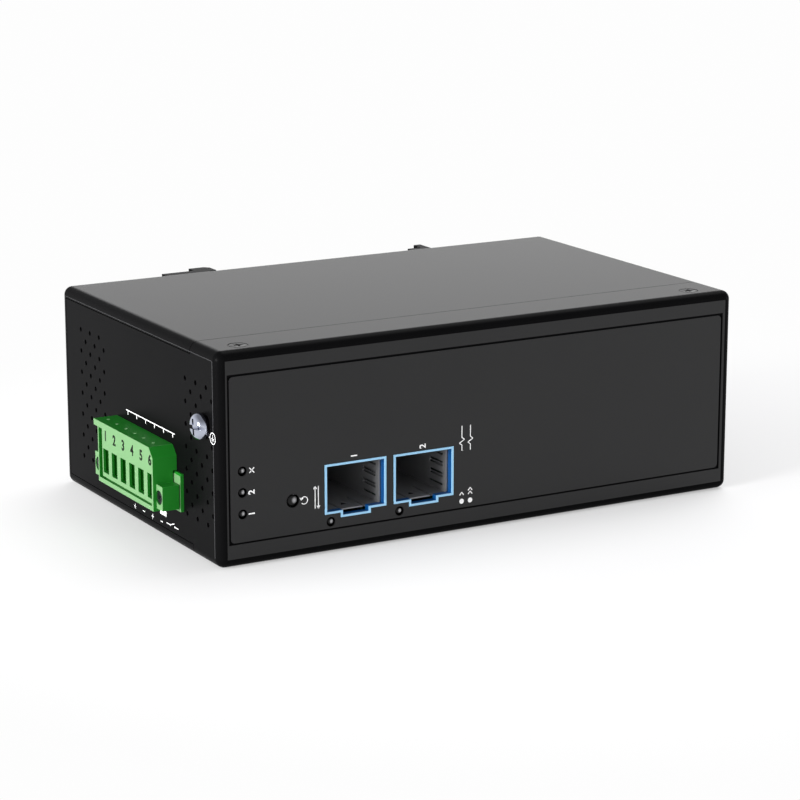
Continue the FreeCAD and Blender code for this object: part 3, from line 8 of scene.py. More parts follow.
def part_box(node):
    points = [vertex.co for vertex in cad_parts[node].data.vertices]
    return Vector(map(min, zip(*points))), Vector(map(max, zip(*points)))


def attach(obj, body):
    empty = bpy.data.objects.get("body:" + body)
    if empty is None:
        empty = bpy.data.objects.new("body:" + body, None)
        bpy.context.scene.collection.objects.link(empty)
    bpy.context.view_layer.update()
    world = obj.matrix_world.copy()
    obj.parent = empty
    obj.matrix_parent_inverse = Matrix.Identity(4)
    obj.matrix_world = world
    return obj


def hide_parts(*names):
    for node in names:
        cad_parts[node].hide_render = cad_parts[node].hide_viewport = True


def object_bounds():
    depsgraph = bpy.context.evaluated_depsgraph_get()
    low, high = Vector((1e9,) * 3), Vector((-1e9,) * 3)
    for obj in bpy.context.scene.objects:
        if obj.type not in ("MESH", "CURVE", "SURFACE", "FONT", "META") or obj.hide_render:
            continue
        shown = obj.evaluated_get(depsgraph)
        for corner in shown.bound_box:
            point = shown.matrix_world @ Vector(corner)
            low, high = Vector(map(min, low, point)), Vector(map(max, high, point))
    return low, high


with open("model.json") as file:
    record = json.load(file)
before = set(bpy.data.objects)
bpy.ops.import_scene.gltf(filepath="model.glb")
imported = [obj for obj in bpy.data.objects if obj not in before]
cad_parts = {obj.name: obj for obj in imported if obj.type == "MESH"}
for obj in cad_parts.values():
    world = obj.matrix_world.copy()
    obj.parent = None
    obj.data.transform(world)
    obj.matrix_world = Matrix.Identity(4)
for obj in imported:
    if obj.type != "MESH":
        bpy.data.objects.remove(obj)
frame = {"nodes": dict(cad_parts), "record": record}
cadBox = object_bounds()
nodes = frame["nodes"]
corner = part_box("front_chassis")[0]  # terminal end, front panel, side that the converter lies on
print("frame loaded:", len(nodes), "nodes")


# Places and selections

def spot(x, y, z):  # millimetres from the housing's corner
    return corner + Vector((x, y, z)) * 0.001


def centreOf(node):
    low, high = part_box(node)
    return (low + high) / 2


def letGo():
    if bpy.context.object and bpy.context.object.mode != "OBJECT":
        bpy.ops.object.mode_set(mode="OBJECT")
    bpy.ops.object.select_all(action="DESELECT")


def take(piece):
    letGo()
    piece.select_set(True)
    bpy.context.view_layer.objects.active = piece
    return piece


def editing(piece, mode="FACE"):
    take(piece)
    bpy.ops.object.mode_set(mode="EDIT")
    bpy.ops.mesh.select_mode(type=mode)
    bpy.ops.mesh.select_all(action="DESELECT")
    bpy.ops.object.mode_set(mode="OBJECT")


def pickFaces(piece, wanted):  # selects the faces for which wanted(centre, normal) holds
    editing(piece)
    for face in piece.data.polygons:
        face.select = bool(wanted(face.center, face.normal))
    bpy.ops.object.mode_set(mode="EDIT")


def pickEdges(piece, wanted):  # selects the edges for which wanted(one end, other end) holds
    editing(piece, "EDGE")
    points = piece.data.vertices
    for edge in piece.data.edges:
        a, b = (points[i].co for i in edge.vertices)
        edge.select = bool(wanted(a, b))
    bpy.ops.object.mode_set(mode="EDIT")


def settle(piece):  # back to object mode, with the place in the mesh
    letGo()
    piece.data.transform(piece.matrix_world)
    piece.matrix_world = Matrix.Identity(4)
    return piece


def applyAll(piece):
    take(piece)
    for modifier in list(piece.modifiers):
        bpy.ops.object.modifier_apply(modifier=modifier.name)
    return piece


def newDisc(name, radius, depth, sides=64):  # stands on z = 0
    letGo()
    bpy.ops.mesh.primitive_cylinder_add(vertices=sides, radius=radius, depth=depth,
                                        location=(0, 0, depth / 2))
    piece = bpy.context.object
    piece.name = piece.data.name = name
    return settle(piece)


def newBlock(name, low, high):
    letGo()
    bpy.ops.mesh.primitive_cube_add(size=1, location=(Vector(low) + Vector(high)) / 2)
    piece = bpy.context.object
    piece.name = piece.data.name = name
    piece.scale = Vector(high) - Vector(low)
    bpy.context.view_layer.update()
    return settle(piece)


def combine(piece, operation, others):
    for other in others:
        step = piece.modifiers.new("step", "BOOLEAN")
        step.operation = operation
        step.solver = "EXACT"
        step.object = other
    applyAll(piece)
    for other in others:
        bpy.data.objects.remove(other)
    return piece


def cutWith(piece, *tools):
    return combine(piece, "DIFFERENCE", tools)


def fuseWith(piece, *others):
    return combine(piece, "UNION", others)


# painted highlight on a dome: a paler spot, its place beside and above the middle and its reach, as shares of
# the radius
domeHighlight = {"aside": 0.36, "above": 0.05, "reach": 0.62}


def newDome(name, radius, rise, stem):  # a round cap on a straight stem, its edge at z = 0
    letGo()
    bpy.ops.mesh.primitive_uv_sphere_add(segments=40, ring_count=24, radius=radius)
    piece = bpy.context.object
    piece.name = piece.data.name = name
    piece.scale = (1, 1, rise / radius)
    bpy.context.view_layer.update()
    settle(piece)
    pickFaces(piece, lambda centre, normal: True)
    bpy.ops.mesh.bisect(plane_co=(0, 0, 0), plane_no=(0, 0, 1), clear_inner=True)
    settle(piece)
    pickEdges(piece, lambda a, b: abs(a.z) < 1e-7 and abs(b.z) < 1e-7)
    bpy.ops.mesh.extrude_region_move(TRANSFORM_OT_translate={"value": (0, 0, -stem)})
    bpy.ops.mesh.edge_face_add()
    settle(piece)
    # painted highlight: a paler spot beside and above the cap's middle, fading out over its reach
    core = piece.data.attributes.new("core", "FLOAT", "POINT")
    middle = Vector((domeHighlight["aside"] * radius, domeHighlight["above"] * radius, rise))
    for point, value in zip(piece.data.vertices, core.data):
        away = (point.co - middle).length / radius
        value.value = max(0.0, 1.0 - (away / domeHighlight["reach"]) ** 2)
    return smooth(piece, 50)


def joined(name, pieces):
    letGo()
    for piece in pieces:
        piece.select_set(True)
    bpy.context.view_layer.objects.active = pieces[0]
    if len(pieces) > 1:
        bpy.ops.object.join()
    pieces[0].name = pieces[0].data.name = name
    letGo()
    return pieces[0]


def smooth(piece, angle=35):
    take(piece)
    bpy.ops.object.shade_smooth_by_angle(angle=math.radians(angle))
    letGo()
    return piece


def facing(origin, right, up):  # a flat drawing's X and Y go along right and up
    right, up = Vector(right), Vector(up)
    out = right.cross(up)
    turn = Matrix((right, up, out)).transposed().to_4x4()
    return Matrix.Translation(origin) @ turn


def copyTo(piece, matrix):
    twin = piece.copy()
    twin.data = piece.data.copy()
    bpy.context.scene.collection.objects.link(twin)
    twin.data.transform(matrix)
    return twin


# Effects shared by several finishes

def newGroup(name, inputs, outputs):
    group = bpy.data.node_groups.new(name, "ShaderNodeTree")
    for label, kind, value in inputs:
        socket = group.interface.new_socket(label, in_out="INPUT", socket_type="NodeSocket" + kind)
        if value is not None:
            socket.default_value = value
    for label, kind in outputs:
        group.interface.new_socket(label, in_out="OUTPUT", socket_type="NodeSocket" + kind)
    start = group.nodes.new("NodeGroupInput")
    end = group.nodes.new("NodeGroupOutput")
    return group, start, end


def wire(tree, pairs):
    for source, target in pairs:
        tree.links.new(source, target)


def mathNode(tree, operation, first=None, second=None, clamp=False):
    node = tree.nodes.new("ShaderNodeMath")
    node.operation = operation
    node.use_clamp = clamp
    for socket, value in zip(node.inputs, (first, second)):
        if isinstance(value, (int, float)):
            socket.default_value = value
        elif value is not None:
            tree.links.new(value, socket)
    return node.outputs[0]


def buildGrain():  # fine surface relief with a slow drift of tone
    group, start, end = newGroup(
        "surfaceGrain",
        [("Vector", "Vector", None), ("Scale", "Float", 2500.0), ("Drift", "Float", 60.0)],
        [("Relief", "Float"), ("Tone", "Float")])
    fine = group.nodes.new("ShaderNodeTexNoise")
    fine.inputs["Detail"].default_value = 3.0
    fine.inputs["Roughness"].default_value = 0.6
    slow = group.nodes.new("ShaderNodeTexNoise")
    slow.inputs["Detail"].default_value = 2.0
    tone = mathNode(group, "ADD", mathNode(group, "MULTIPLY", slow.outputs["Fac"], 0.75),
                    mathNode(group, "MULTIPLY", fine.outputs["Fac"], 0.25))
    wire(group, [(start.outputs["Vector"], fine.inputs["Vector"]),
                 (start.outputs["Scale"], fine.inputs["Scale"]),
                 (start.outputs["Vector"], slow.inputs["Vector"]),
                 (start.outputs["Drift"], slow.inputs["Scale"]),
                 (fine.outputs["Fac"], end.inputs["Relief"]),
                 (tone, end.inputs["Tone"])])
    return group


def buildWearAndHighlight():  # how far a point lies on an outer edge, from 0 to 1
    group, start, end = newGroup(
        "edgeWearAndHighlight",
        [("Vector", "Vector", None), ("Radius", "Float", 0.0004), ("Gain", "Float", 6.0),
         ("Breakup", "Float", 900.0)],
        [("Mask", "Float")])
    bevel = group.nodes.new("ShaderNodeBevel")
    bevel.samples = 4
    geometry = group.nodes.new("ShaderNodeNewGeometry")
    product = group.nodes.new("ShaderNodeVectorMath")
    product.operation = "DOT_PRODUCT"
    noise = group.nodes.new("ShaderNodeTexNoise")
    noise.inputs["Detail"].default_value = 2.0
    wire(group, [(start.outputs["Radius"], bevel.inputs["Radius"]),
                 (bevel.outputs["Normal"], product.inputs[0]),
                 (geometry.outputs["Normal"], product.inputs[1]),
                 (start.outputs["Vector"], noise.inputs["Vector"]),
                 (start.outputs["Breakup"], noise.inputs["Scale"])])
    bend = mathNode(group, "SUBTRACT", 1.0, product.outputs["Value"])
    strong = mathNode(group, "MULTIPLY", bend, start.outputs["Gain"], clamp=True)
    wearAndHighlight = mathNode(group, "MULTIPLY", strong, noise.outputs["Fac"], clamp=True)
    wire(group, [(wearAndHighlight, end.inputs["Mask"])])
    return group


def buildBrush():  # long fine scratches along one axis
    group, start, end = newGroup(
        "brushedLines",
        [("Vector", "Vector", None), ("Stretch", "Vector", (60.0, 4000.0, 4000.0))],
        [("Relief", "Float")])
    scale = group.nodes.new("ShaderNodeVectorMath")
    scale.operation = "MULTIPLY"
    noise = group.nodes.new("ShaderNodeTexNoise")
    noise.inputs["Scale"].default_value = 1.0
    noise.inputs["Detail"].default_value = 3.0
    wire(group, [(start.outputs["Vector"], scale.inputs[0]),
                 (start.outputs["Stretch"], scale.inputs[1]),
                 (scale.outputs["Vector"], noise.inputs["Vector"]),
                 (noise.outputs["Fac"], end.inputs["Relief"])])
    return group


surfaceGrain, edgeWearAndHighlight, brushedLines = buildGrain(), buildWearAndHighlight(), buildBrush()


def mixedIn(tree, mask, colour, other):  # the other colour shows where the mask is 1
    mix = tree.nodes.new("ShaderNodeMix")
    mix.data_type = "RGBA"
    mix.inputs["B"].default_value = (*other, 1)
    wire(tree, [(mask, mix.inputs["Factor"]), (colour, mix.inputs["A"])])
    return mix.outputs["Result"]


def sideOf(tree, source, axis, limit):  # 1 where one part of a vector is less than the limit
    split = tree.nodes.new("ShaderNodeSeparateXYZ")
    tree.links.new(source, split.inputs[0])
    return mathNode(tree, "LESS_THAN", split.outputs[axis], limit)


# What a look may hold: colour, second (mottled towards it), grain and drift (their scales), lines (brushed),
# wearAndHighlight, edge and gain (rubbed edges; on the plug a painted edge highlight), core (a painted
# highlight on a dome), face and faceLine (a painted highlight nearer the front than that), paintedLitFace
# (painted light: faces that point to the terminal end are paler), roughness, spread, depth, metallic,
# specular and coat

def newFinish(name, look):
    material = bpy.data.materials.new(name)
    material.use_nodes = True
    tree = material.node_tree
    shader = tree.nodes["Principled BSDF"]
    coordinates = tree.nodes.new("ShaderNodeTexCoord")
    place = coordinates.outputs["Object"]
    grain = tree.nodes.new("ShaderNodeGroup")
    grain.node_tree = surfaceGrain
    grain.inputs["Scale"].default_value = look.get("grain", 2500)
    grain.inputs["Drift"].default_value = look.get("drift", 60)
    tree.links.new(place, grain.inputs["Vector"])
    tint = tree.nodes.new("ShaderNodeMix")
    tint.data_type = "RGBA"
    tint.inputs["A"].default_value = (*look["colour"], 1)
    tint.inputs["B"].default_value = (*look.get("second", [c * 1.35 for c in look["colour"]]), 1)
    tree.links.new(grain.outputs["Tone"], tint.inputs["Factor"])
    colour = tint.outputs["Result"]
    relief = grain.outputs["Relief"]
    if "lines" in look:
        brush = tree.nodes.new("ShaderNodeGroup")
        brush.node_tree = brushedLines
        brush.inputs["Stretch"].default_value = look["lines"]
        tree.links.new(place, brush.inputs["Vector"])
        relief = brush.outputs["Relief"]
    # edge colour: rubbed metal on the steel and aluminium parts, a painted edge highlight on the green plug
    if "wearAndHighlight" in look:
        wearAndHighlightNode = tree.nodes.new("ShaderNodeGroup")
        wearAndHighlightNode.node_tree = edgeWearAndHighlight
        wearAndHighlightNode.inputs["Radius"].default_value = look.get("edge", 0.0003)
        wearAndHighlightNode.inputs["Gain"].default_value = look.get("gain", 5.0)
        tree.links.new(place, wearAndHighlightNode.inputs["Vector"])
        colour = mixedIn(tree, wearAndHighlightNode.outputs["Mask"], colour, look["wearAndHighlight"])
    # painted highlight: the paler spot on a dome, read from its point attribute
    if "core" in look:
        highlightSpot = tree.nodes.new("ShaderNodeAttribute")
        highlightSpot.attribute_name = "core"
        colour = mixedIn(tree, highlightSpot.outputs["Fac"], colour, look["core"])
    # painted highlight: the part of a piece nearest the front gets a paler colour
    if "face" in look:
        colour = mixedIn(tree, sideOf(tree, place, "Y", look["faceLine"]), colour, look["face"])
    # painted light: faces that point to the terminal end get a paler colour, as if lit from that side
    if "paintedLitFace" in look:
        litFaceMask = sideOf(tree, coordinates.outputs["Normal"], "X", -0.9)
        colour = mixedIn(tree, litFaceMask, colour, look["paintedLitFace"])
    rough = tree.nodes.new("ShaderNodeMapRange")
    spread = look.get("spread", 0.06)
    rough.inputs["To Min"].default_value = look["roughness"] - spread
    rough.inputs["To Max"].default_value = look["roughness"] + spread
    bump = tree.nodes.new("ShaderNodeBump")
    bump.inputs["Strength"].default_value = 0.25
    bump.inputs["Distance"].default_value = look.get("depth", 0.00002)
    wire(tree, [(colour, shader.inputs["Base Color"]),
                (relief, rough.inputs["Value"]), (rough.outputs["Result"], shader.inputs["Roughness"]),
                (relief, bump.inputs["Height"]), (bump.outputs["Normal"], shader.inputs["Normal"])])
    shader.inputs["Metallic"].default_value = look.get("metallic", 0.0)
    shader.inputs["Specular IOR Level"].default_value = look.get("specular", 0.5)
    shader.inputs["Coat Weight"].default_value = look.get("coat", 0.0)
    shader.inputs["Coat Roughness"].default_value = 0.2
    return material


finishes = {
    "case_paint": {"colour": (0.0024, 0.0024, 0.0026), "second": (0.0038, 0.0038, 0.0041),
                   "roughness": 0.31, "spread": 0.04, "grain": 3200, "depth": 0.000008, "specular": 0.014},
    "overlay_film": {"colour": (0.005, 0.005, 0.0055), "second": (0.0075, 0.0075, 0.008),
                     "roughness": 0.36, "spread": 0.03, "grain": 5200, "depth": 0.000004, "specular": 0.33},
    "black_screws": {"colour": (0.0025, 0.0025, 0.0028), "second": (0.004, 0.004, 0.0043),
                     "roughness": 0.32, "grain": 5000, "specular": 0.02},
    # port_blue: the pale front face of the rim is a painted highlight
    "port_blue": {"colour": (0.001, 0.06, 0.21), "second": (0.002, 0.08, 0.28), "face": (0.28, 0.54, 0.76),
                  "faceLine": corner.y + 0.00012, "roughness": 0.32},
    "cage_steel": {"colour": (0.24, 0.24, 0.245), "second": (0.34, 0.34, 0.345), "roughness": 0.5,
                   "metallic": 0.55, "lines": (3500.0, 50.0, 3500.0)},
    "connector_black": {"colour": (0.012, 0.012, 0.013), "roughness": 0.5, "grain": 1800},
    "contact_metal": {"colour": (0.75, 0.5, 0.16), "second": (0.85, 0.62, 0.25), "roughness": 0.25,
                      "metallic": 1.0},
    # the paler spot on the lens and reset-cap domes is a painted highlight
    "lens_plastic": {"colour": (0.002, 0.002, 0.0022), "second": (0.004, 0.004, 0.0042),
                     "core": (0.42, 0.42, 0.43), "roughness": 0.24, "spread": 0.03, "specular": 0.2},
    "switch_black": {"colour": (0.003, 0.003, 0.0032), "second": (0.005, 0.005, 0.0052),
                     "core": (0.32, 0.32, 0.33), "roughness": 0.3, "specular": 0.2},
    "terminal_green": {"colour": (0.01, 0.17, 0.014), "second": (0.014, 0.2, 0.018),
                       # paler edges: a painted edge highlight
                       "wearAndHighlight": (0.05, 0.38, 0.06), "edge": 0.00018, "gain": 3.0,
                       # paler faces towards the terminal end: painted light
                       "paintedLitFace": (0.13, 0.27, 0.115), "roughness": 0.42, "grain": 1500,
                       "depth": 0.000012, "specular": 0.15},
    "pin_metal": {"colour": (0.62, 0.62, 0.6), "roughness": 0.3, "metallic": 1.0},
    "plated_steel": {"colour": (0.4, 0.43, 0.52), "second": (0.5, 0.53, 0.63), "roughness": 0.11,
                     "spread": 0.04, "metallic": 1.0, "grain": 900, "depth": 0.00001},
    "board_green": {"colour": (0.008, 0.07, 0.022), "second": (0.02, 0.14, 0.045), "roughness": 0.3,
                    "grain": 420, "drift": 260, "coat": 0.3},
    "post_steel": {"colour": (0.5, 0.5, 0.48), "wearAndHighlight": (0.75, 0.75, 0.74), "roughness": 0.32,
                   "metallic": 1.0},
    "sink_aluminium": {"colour": (0.09, 0.09, 0.095), "wearAndHighlight": (0.5, 0.5, 0.52), "roughness": 0.4,
                       "metallic": 0.9, "lines": (80.0, 3000.0, 3000.0)},
    "chip_black": {"colour": (0.012, 0.012, 0.012), "second": (0.02, 0.02, 0.02), "roughness": 0.55,
                   "grain": 5000},
    "relay_case": {"colour": (0.02, 0.02, 0.026), "roughness": 0.42},
    "coil_ferrite": {"colour": (0.035, 0.035, 0.036), "second": (0.07, 0.07, 0.07), "roughness": 0.6,
                     "grain": 2200},
    "can_sleeve": {"colour": (0.55, 0.55, 0.57), "roughness": 0.3, "metallic": 0.9,
                   "lines": (2500.0, 2500.0, 60.0)},
    "core_ferrite": {"colour": (0.04, 0.036, 0.03), "second": (0.09, 0.075, 0.04), "roughness": 0.55},
    "clip_black": {"colour": (0.0015, 0.0015, 0.0016), "second": (0.003, 0.003, 0.0032),
                   "roughness": 0.45, "grain": 2600, "specular": 0.008},
    "spring_steel": {"colour": (0.5, 0.5, 0.52), "roughness": 0.25, "metallic": 1.0},
}
materials = {name: newFinish(name, look) for name, look in finishes.items()}

slotOf = {part["node"]: part["material_slot"] for part in frame["record"]["subparts"]}
for name, part in nodes.items():
    part.data.materials.clear()
    part.data.materials.append(materials[slotOf[name]])
print("finishes placed:", len(materials))


def addPiece(piece, body, slot, finish=None, replaces=()):
    piece.data.materials.clear()
    piece.data.materials.append(finish or materials[slot])
    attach(piece, body)
    if replaces:
        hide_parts(*replaces)
    return piece


# Screws

terminalSide, upwardZ = (0, -1, 0), (0, 0, 1)  # a drawing's X and Y on the terminal end
crossTaper = (0.45, 0.7, 1)


def driverCross(arm, width, depth, top):  # cutter for a cross recess that narrows downwards
    bars = []
    for turn in (0, 1):
        bar = newBlock("crossBar", (-arm, -width / 2, top - depth), (arm, width / 2, top + depth))
        pickFaces(bar, lambda centre, normal: normal.z < -0.9)
        bpy.ops.transform.resize(value=crossTaper)
        settle(bar)
        bar.data.transform(Matrix.Rotation(turn * math.pi / 2, 4, "Z"))
        bars.append(bar)
    return bars


flatScrew = {"head": 0.00222, "rim": 0.0001, "shank": 0.00108, "cone": 0.0011, "length": 0.0032,
             "arm": 0.0014, "slot": 0.00052, "deep": 0.0009, "round": 0.00006}


def newFlatScrew():  # head's face at z = 0, shank downwards
    size = flatScrew
    screw = newDisc("flatScrew", size["head"], size["rim"])
    pickFaces(screw, lambda centre, normal: normal.z < -0.9)
    bpy.ops.mesh.extrude_region_move(TRANSFORM_OT_translate={"value": (0, 0, -size["cone"])})
    bpy.ops.transform.resize(value=(size["shank"] / size["head"],) * 2 + (1,))
    bpy.ops.mesh.extrude_region_move(TRANSFORM_OT_translate={"value": (0, 0, -size["length"] + size["cone"])})
    settle(screw)
    screw.data.transform(Matrix.Translation((0, 0, -size["rim"])))
    cutWith(screw, *driverCross(size["arm"], size["slot"], size["deep"], 0.0))
    pickEdges(screw, lambda a, b: min(a.z, b.z) > -size["rim"] / 10)
    bpy.ops.mesh.bevel(offset=size["round"], segments=2)
    settle(screw)
    return smooth(screw)


screw = newFlatScrew()
low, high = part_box("cover_screws")
middle = (low.y + high.y) / 2
copies = []
for face, turn in ((high.z, 0), (low.z, math.pi)):
    for x in (low.x + flatScrew["head"], high.x - flatScrew["head"]):
        copies.append(copyTo(screw, Matrix.Translation((x, middle, face)) @ Matrix.Rotation(turn, 4, "X")))
bpy.data.objects.remove(screw)
addPiece(joined("coverScrewSet", copies), "housing", "black_screws", replaces=["cover_screws"])

earScrew = {"head": 0.00162, "height": 0.0011, "face": -5.15, "round": 0.00025, "shank": 0.00095,
            "arm": 0.00115, "slot": 0.00045, "deep": 0.0008, "turn": 0.5, "inset": 0.0016}
low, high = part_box("flange_screws")
screw = newDisc("earScrewHead", earScrew["head"], earScrew["height"])
pickEdges(screw, lambda a, b: min(a.z, b.z) > 0.9 * earScrew["height"])
bpy.ops.mesh.bevel(offset=earScrew["round"], segments=4)
settle(screw)
cutWith(screw, *driverCross(earScrew["arm"], earScrew["slot"], earScrew["deep"], earScrew["height"]))
seat = spot(earScrew["face"], 0, 0).x + earScrew["height"]
reach = high.x - seat
shank = newDisc("earShank", earScrew["shank"], reach, 32)
shank.data.transform(Matrix.Translation((0, 0, -reach)))
screw = smooth(joined("earScrew", [screw, shank]))
earMiddles = (low.y + earScrew["inset"], high.y - earScrew["inset"])
copies = []
for y in earMiddles:
    place = facing((seat, y, (low.z + high.z) / 2), terminalSide, upwardZ)
    copies.append(copyTo(screw, place @ Matrix.Rotation(earScrew["turn"], 4, "Z")))
bpy.data.objects.remove(screw)
darkSteel = newFinish("darkSteel", {"colour": (0.006, 0.006, 0.007), "second": (0.012, 0.012, 0.014),
                                    "roughness": 0.35, "specular": 0.2})
addPiece(joined("earScrewSet", copies), "housing", "black_screws", darkSteel, replaces=["flange_screws"])

earthScrew = {"head": 0.00315, "height": 0.0019, "round": 0.0016, "shank": 0.0019, "turn": 0.12,
              "slot": 0.0009, "slotFloor": 0.0006, "slotEdge": 0.00006, "edgeFrom": 0.001,
              "crossHalf": (0.0004, 0.0019), "crossFloor": 0.0004, "clear": 0.004}
low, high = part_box("earth_screw")
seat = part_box("earth_washer")[0].x
screw = newDisc("earthHead", earthScrew["head"], earthScrew["height"], 96)
pickEdges(screw, lambda a, b: min(a.z, b.z) > 0.9 * earthScrew["height"])
bpy.ops.mesh.bevel(offset=earthScrew["round"], segments=10)
settle(screw)
slotHalf = earthScrew["slot"] / 2
a, b = earthScrew["crossHalf"]
cutWith(screw,
        newBlock("slotBar", (-earthScrew["clear"], -slotHalf, earthScrew["slotFloor"]),
                 (earthScrew["clear"], slotHalf, earthScrew["clear"])),
        newBlock("crossBar", (-a, -b, earthScrew["crossFloor"]), (a, b, earthScrew["clear"])))
pickEdges(screw, lambda a, b: abs(abs(a.y) - slotHalf) < 1e-6 and abs(a.y - b.y) < 1e-6
          and min(a.z, b.z) > earthScrew["edgeFrom"])
bpy.ops.mesh.bevel(offset=earthScrew["slotEdge"], segments=2)
settle(screw)
shank = newDisc("earthShank", earthScrew["shank"], high.x - seat, 48)
shank.data.transform(Matrix.Translation((0, 0, seat - high.x)))
screw = smooth(joined("earthScrewBody", [screw, shank]), 40)
middle = centreOf("earth_screw")
place = facing((seat, middle.y, middle.z), terminalSide, upwardZ)
screw.data.transform(place @ Matrix.Rotation(earthScrew["turn"], 4, "Z"))
addPiece(screw, "housing", "plated_steel", replaces=["earth_screw"])

washer = {"side": 0.0054, "corner": 0.0014, "hole": 0.0021}
half = washer["side"] / 2
middle = centreOf("earth_washer")
plate = newBlock("clampWasher", (seat, middle.y - half, middle.z - half),
                 (corner.x, middle.y + half, middle.z + half))
pickEdges(plate, lambda a, b: abs(a.x - b.x) > 1e-5)
bpy.ops.mesh.bevel(offset=washer["corner"], segments=3)
settle(plate)
hole = newDisc("washerHole", washer["hole"], 0.004)
hole.data.transform(facing((corner.x + 0.002, middle.y, middle.z), terminalSide, upwardZ))
cutWith(plate, hole)
washerSteel = newFinish("washerSteel", {"colour": (0.03, 0.032, 0.045), "second": (0.06, 0.062, 0.08),
                                        "roughness": 0.2, "metallic": 1.0, "grain": 900})
addPiece(smooth(plate, 30), "housing", "plated_steel", washerSteel, replaces=["earth_washer"])
print("screws made")


# Lights and reset button

lens = {"rise": 0.0008, "heelHalf": 0.0013, "heelStart": 0.0016, "heelRound": 0.0004}
alongX = (1, 0, 0)
low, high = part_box("status_lights")
radius = (high.x - low.x) / 2
dome = newDome("lens", radius, lens["rise"], high.y - low.y - lens["rise"])
copies = []
for z in (low.z + radius, (low.z + high.z) / 2, high.z - radius):
    copies.append(copyTo(dome, facing((low.x + radius, low.y + lens["rise"], z), alongX, upwardZ)))
addPiece(joined("statusLenses", copies), "housing", "lens_plastic", replaces=["status_lights"])

low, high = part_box("port_lights")
half = lens["heelHalf"]
copies = []
for x in (low.x + half, high.x - half):
    heel = newBlock("heel", (x - half, low.y + lens["heelStart"], low.z), (x + half, high.y, high.z))
    pickEdges(heel, lambda a, b: min(a.y, b.y) > high.y - 1e-6)
    bpy.ops.mesh.bevel(offset=lens["heelRound"], segments=3)
    settle(heel)
    lamp = copyTo(dome, facing((x, low.y + lens["rise"], high.z - half), alongX, upwardZ))
    copies.append(fuseWith(lamp, heel))
bpy.data.objects.remove(dome)
addPiece(joined("portLenses", copies), "housing", "lens_plastic", replaces=["port_lights"])

resetCap = {"radius": 0.00128, "rise": 0.0005, "stem": 0.0003}
low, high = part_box("reset_button")
middle = (low + high) / 2
cap = newDome("resetCap", resetCap["radius"], resetCap["rise"], resetCap["stem"])
cap.data.transform(facing((middle.x, low.y, middle.z), alongX, upwardZ))
addPiece(cap, "reset_button", "switch_black")
print("lights made")


# Pluggable terminal block, in millimetres: x from the end panel, y from the front, z from the resting side

plug = {"front": -6.16, "back": -0.1, "rear": -1.1, "base": 9.3, "top": 24.1, "low": 21.5, "high": 52.5,
        "slant": 21.9, "lean": 2.0, "lip": 1.5, "lipReach": 2.3, "groove": 0.9, "edge": 0.00008,
        "windowWidth": 3.1, "windowBase": 12.1, "windowTop": 17.95, "windowEnd": 22.15, "depth": 3.2}
plugNose = {"start": 1.2, "end": 0.6, "base": 10.9, "top": 16.3, "tip": 6.75}
plugEar = {"face": -5.3, "base": 10.0, "top": 15.7, "ends": (18.3, 56.3), "overlap": 0.3,
           "bore": 0.0017, "boreDepth": 0.006, "boreEnd": -1.4, "boreRise": 12.85}
plugGroove = {"side": (50.0, 52.0), "base": 10.4, "top": 22.6, "low": (22.3, 50.2), "lowTop": 11.1}
plugHollow = {"beyond": 5, "base": 9, "top": 18.4}  # room for the header's shroud
# places of the dark pieces that stand in for the shade inside the wire openings and the groove: painted shade
clamp = {"front": 0.5, "back": 2.2, "gap": 0.12, "rim": 0.0003, "sink": 0.0004,
         "bedFront": 0.45, "bedBack": 0.95, "bedGap": 0.05}
windowPlaces = (49.5, 44.6, 39.6, 34.6, 29.6, 24.5)
probePlaces = (52.0, 46.8, 41.55, 36.6, 31.8, 26.6)


def windowEnds():  # the last window is narrower
    return [(left, max(left - plug["windowWidth"], plug["windowEnd"])) for left in windowPlaces]


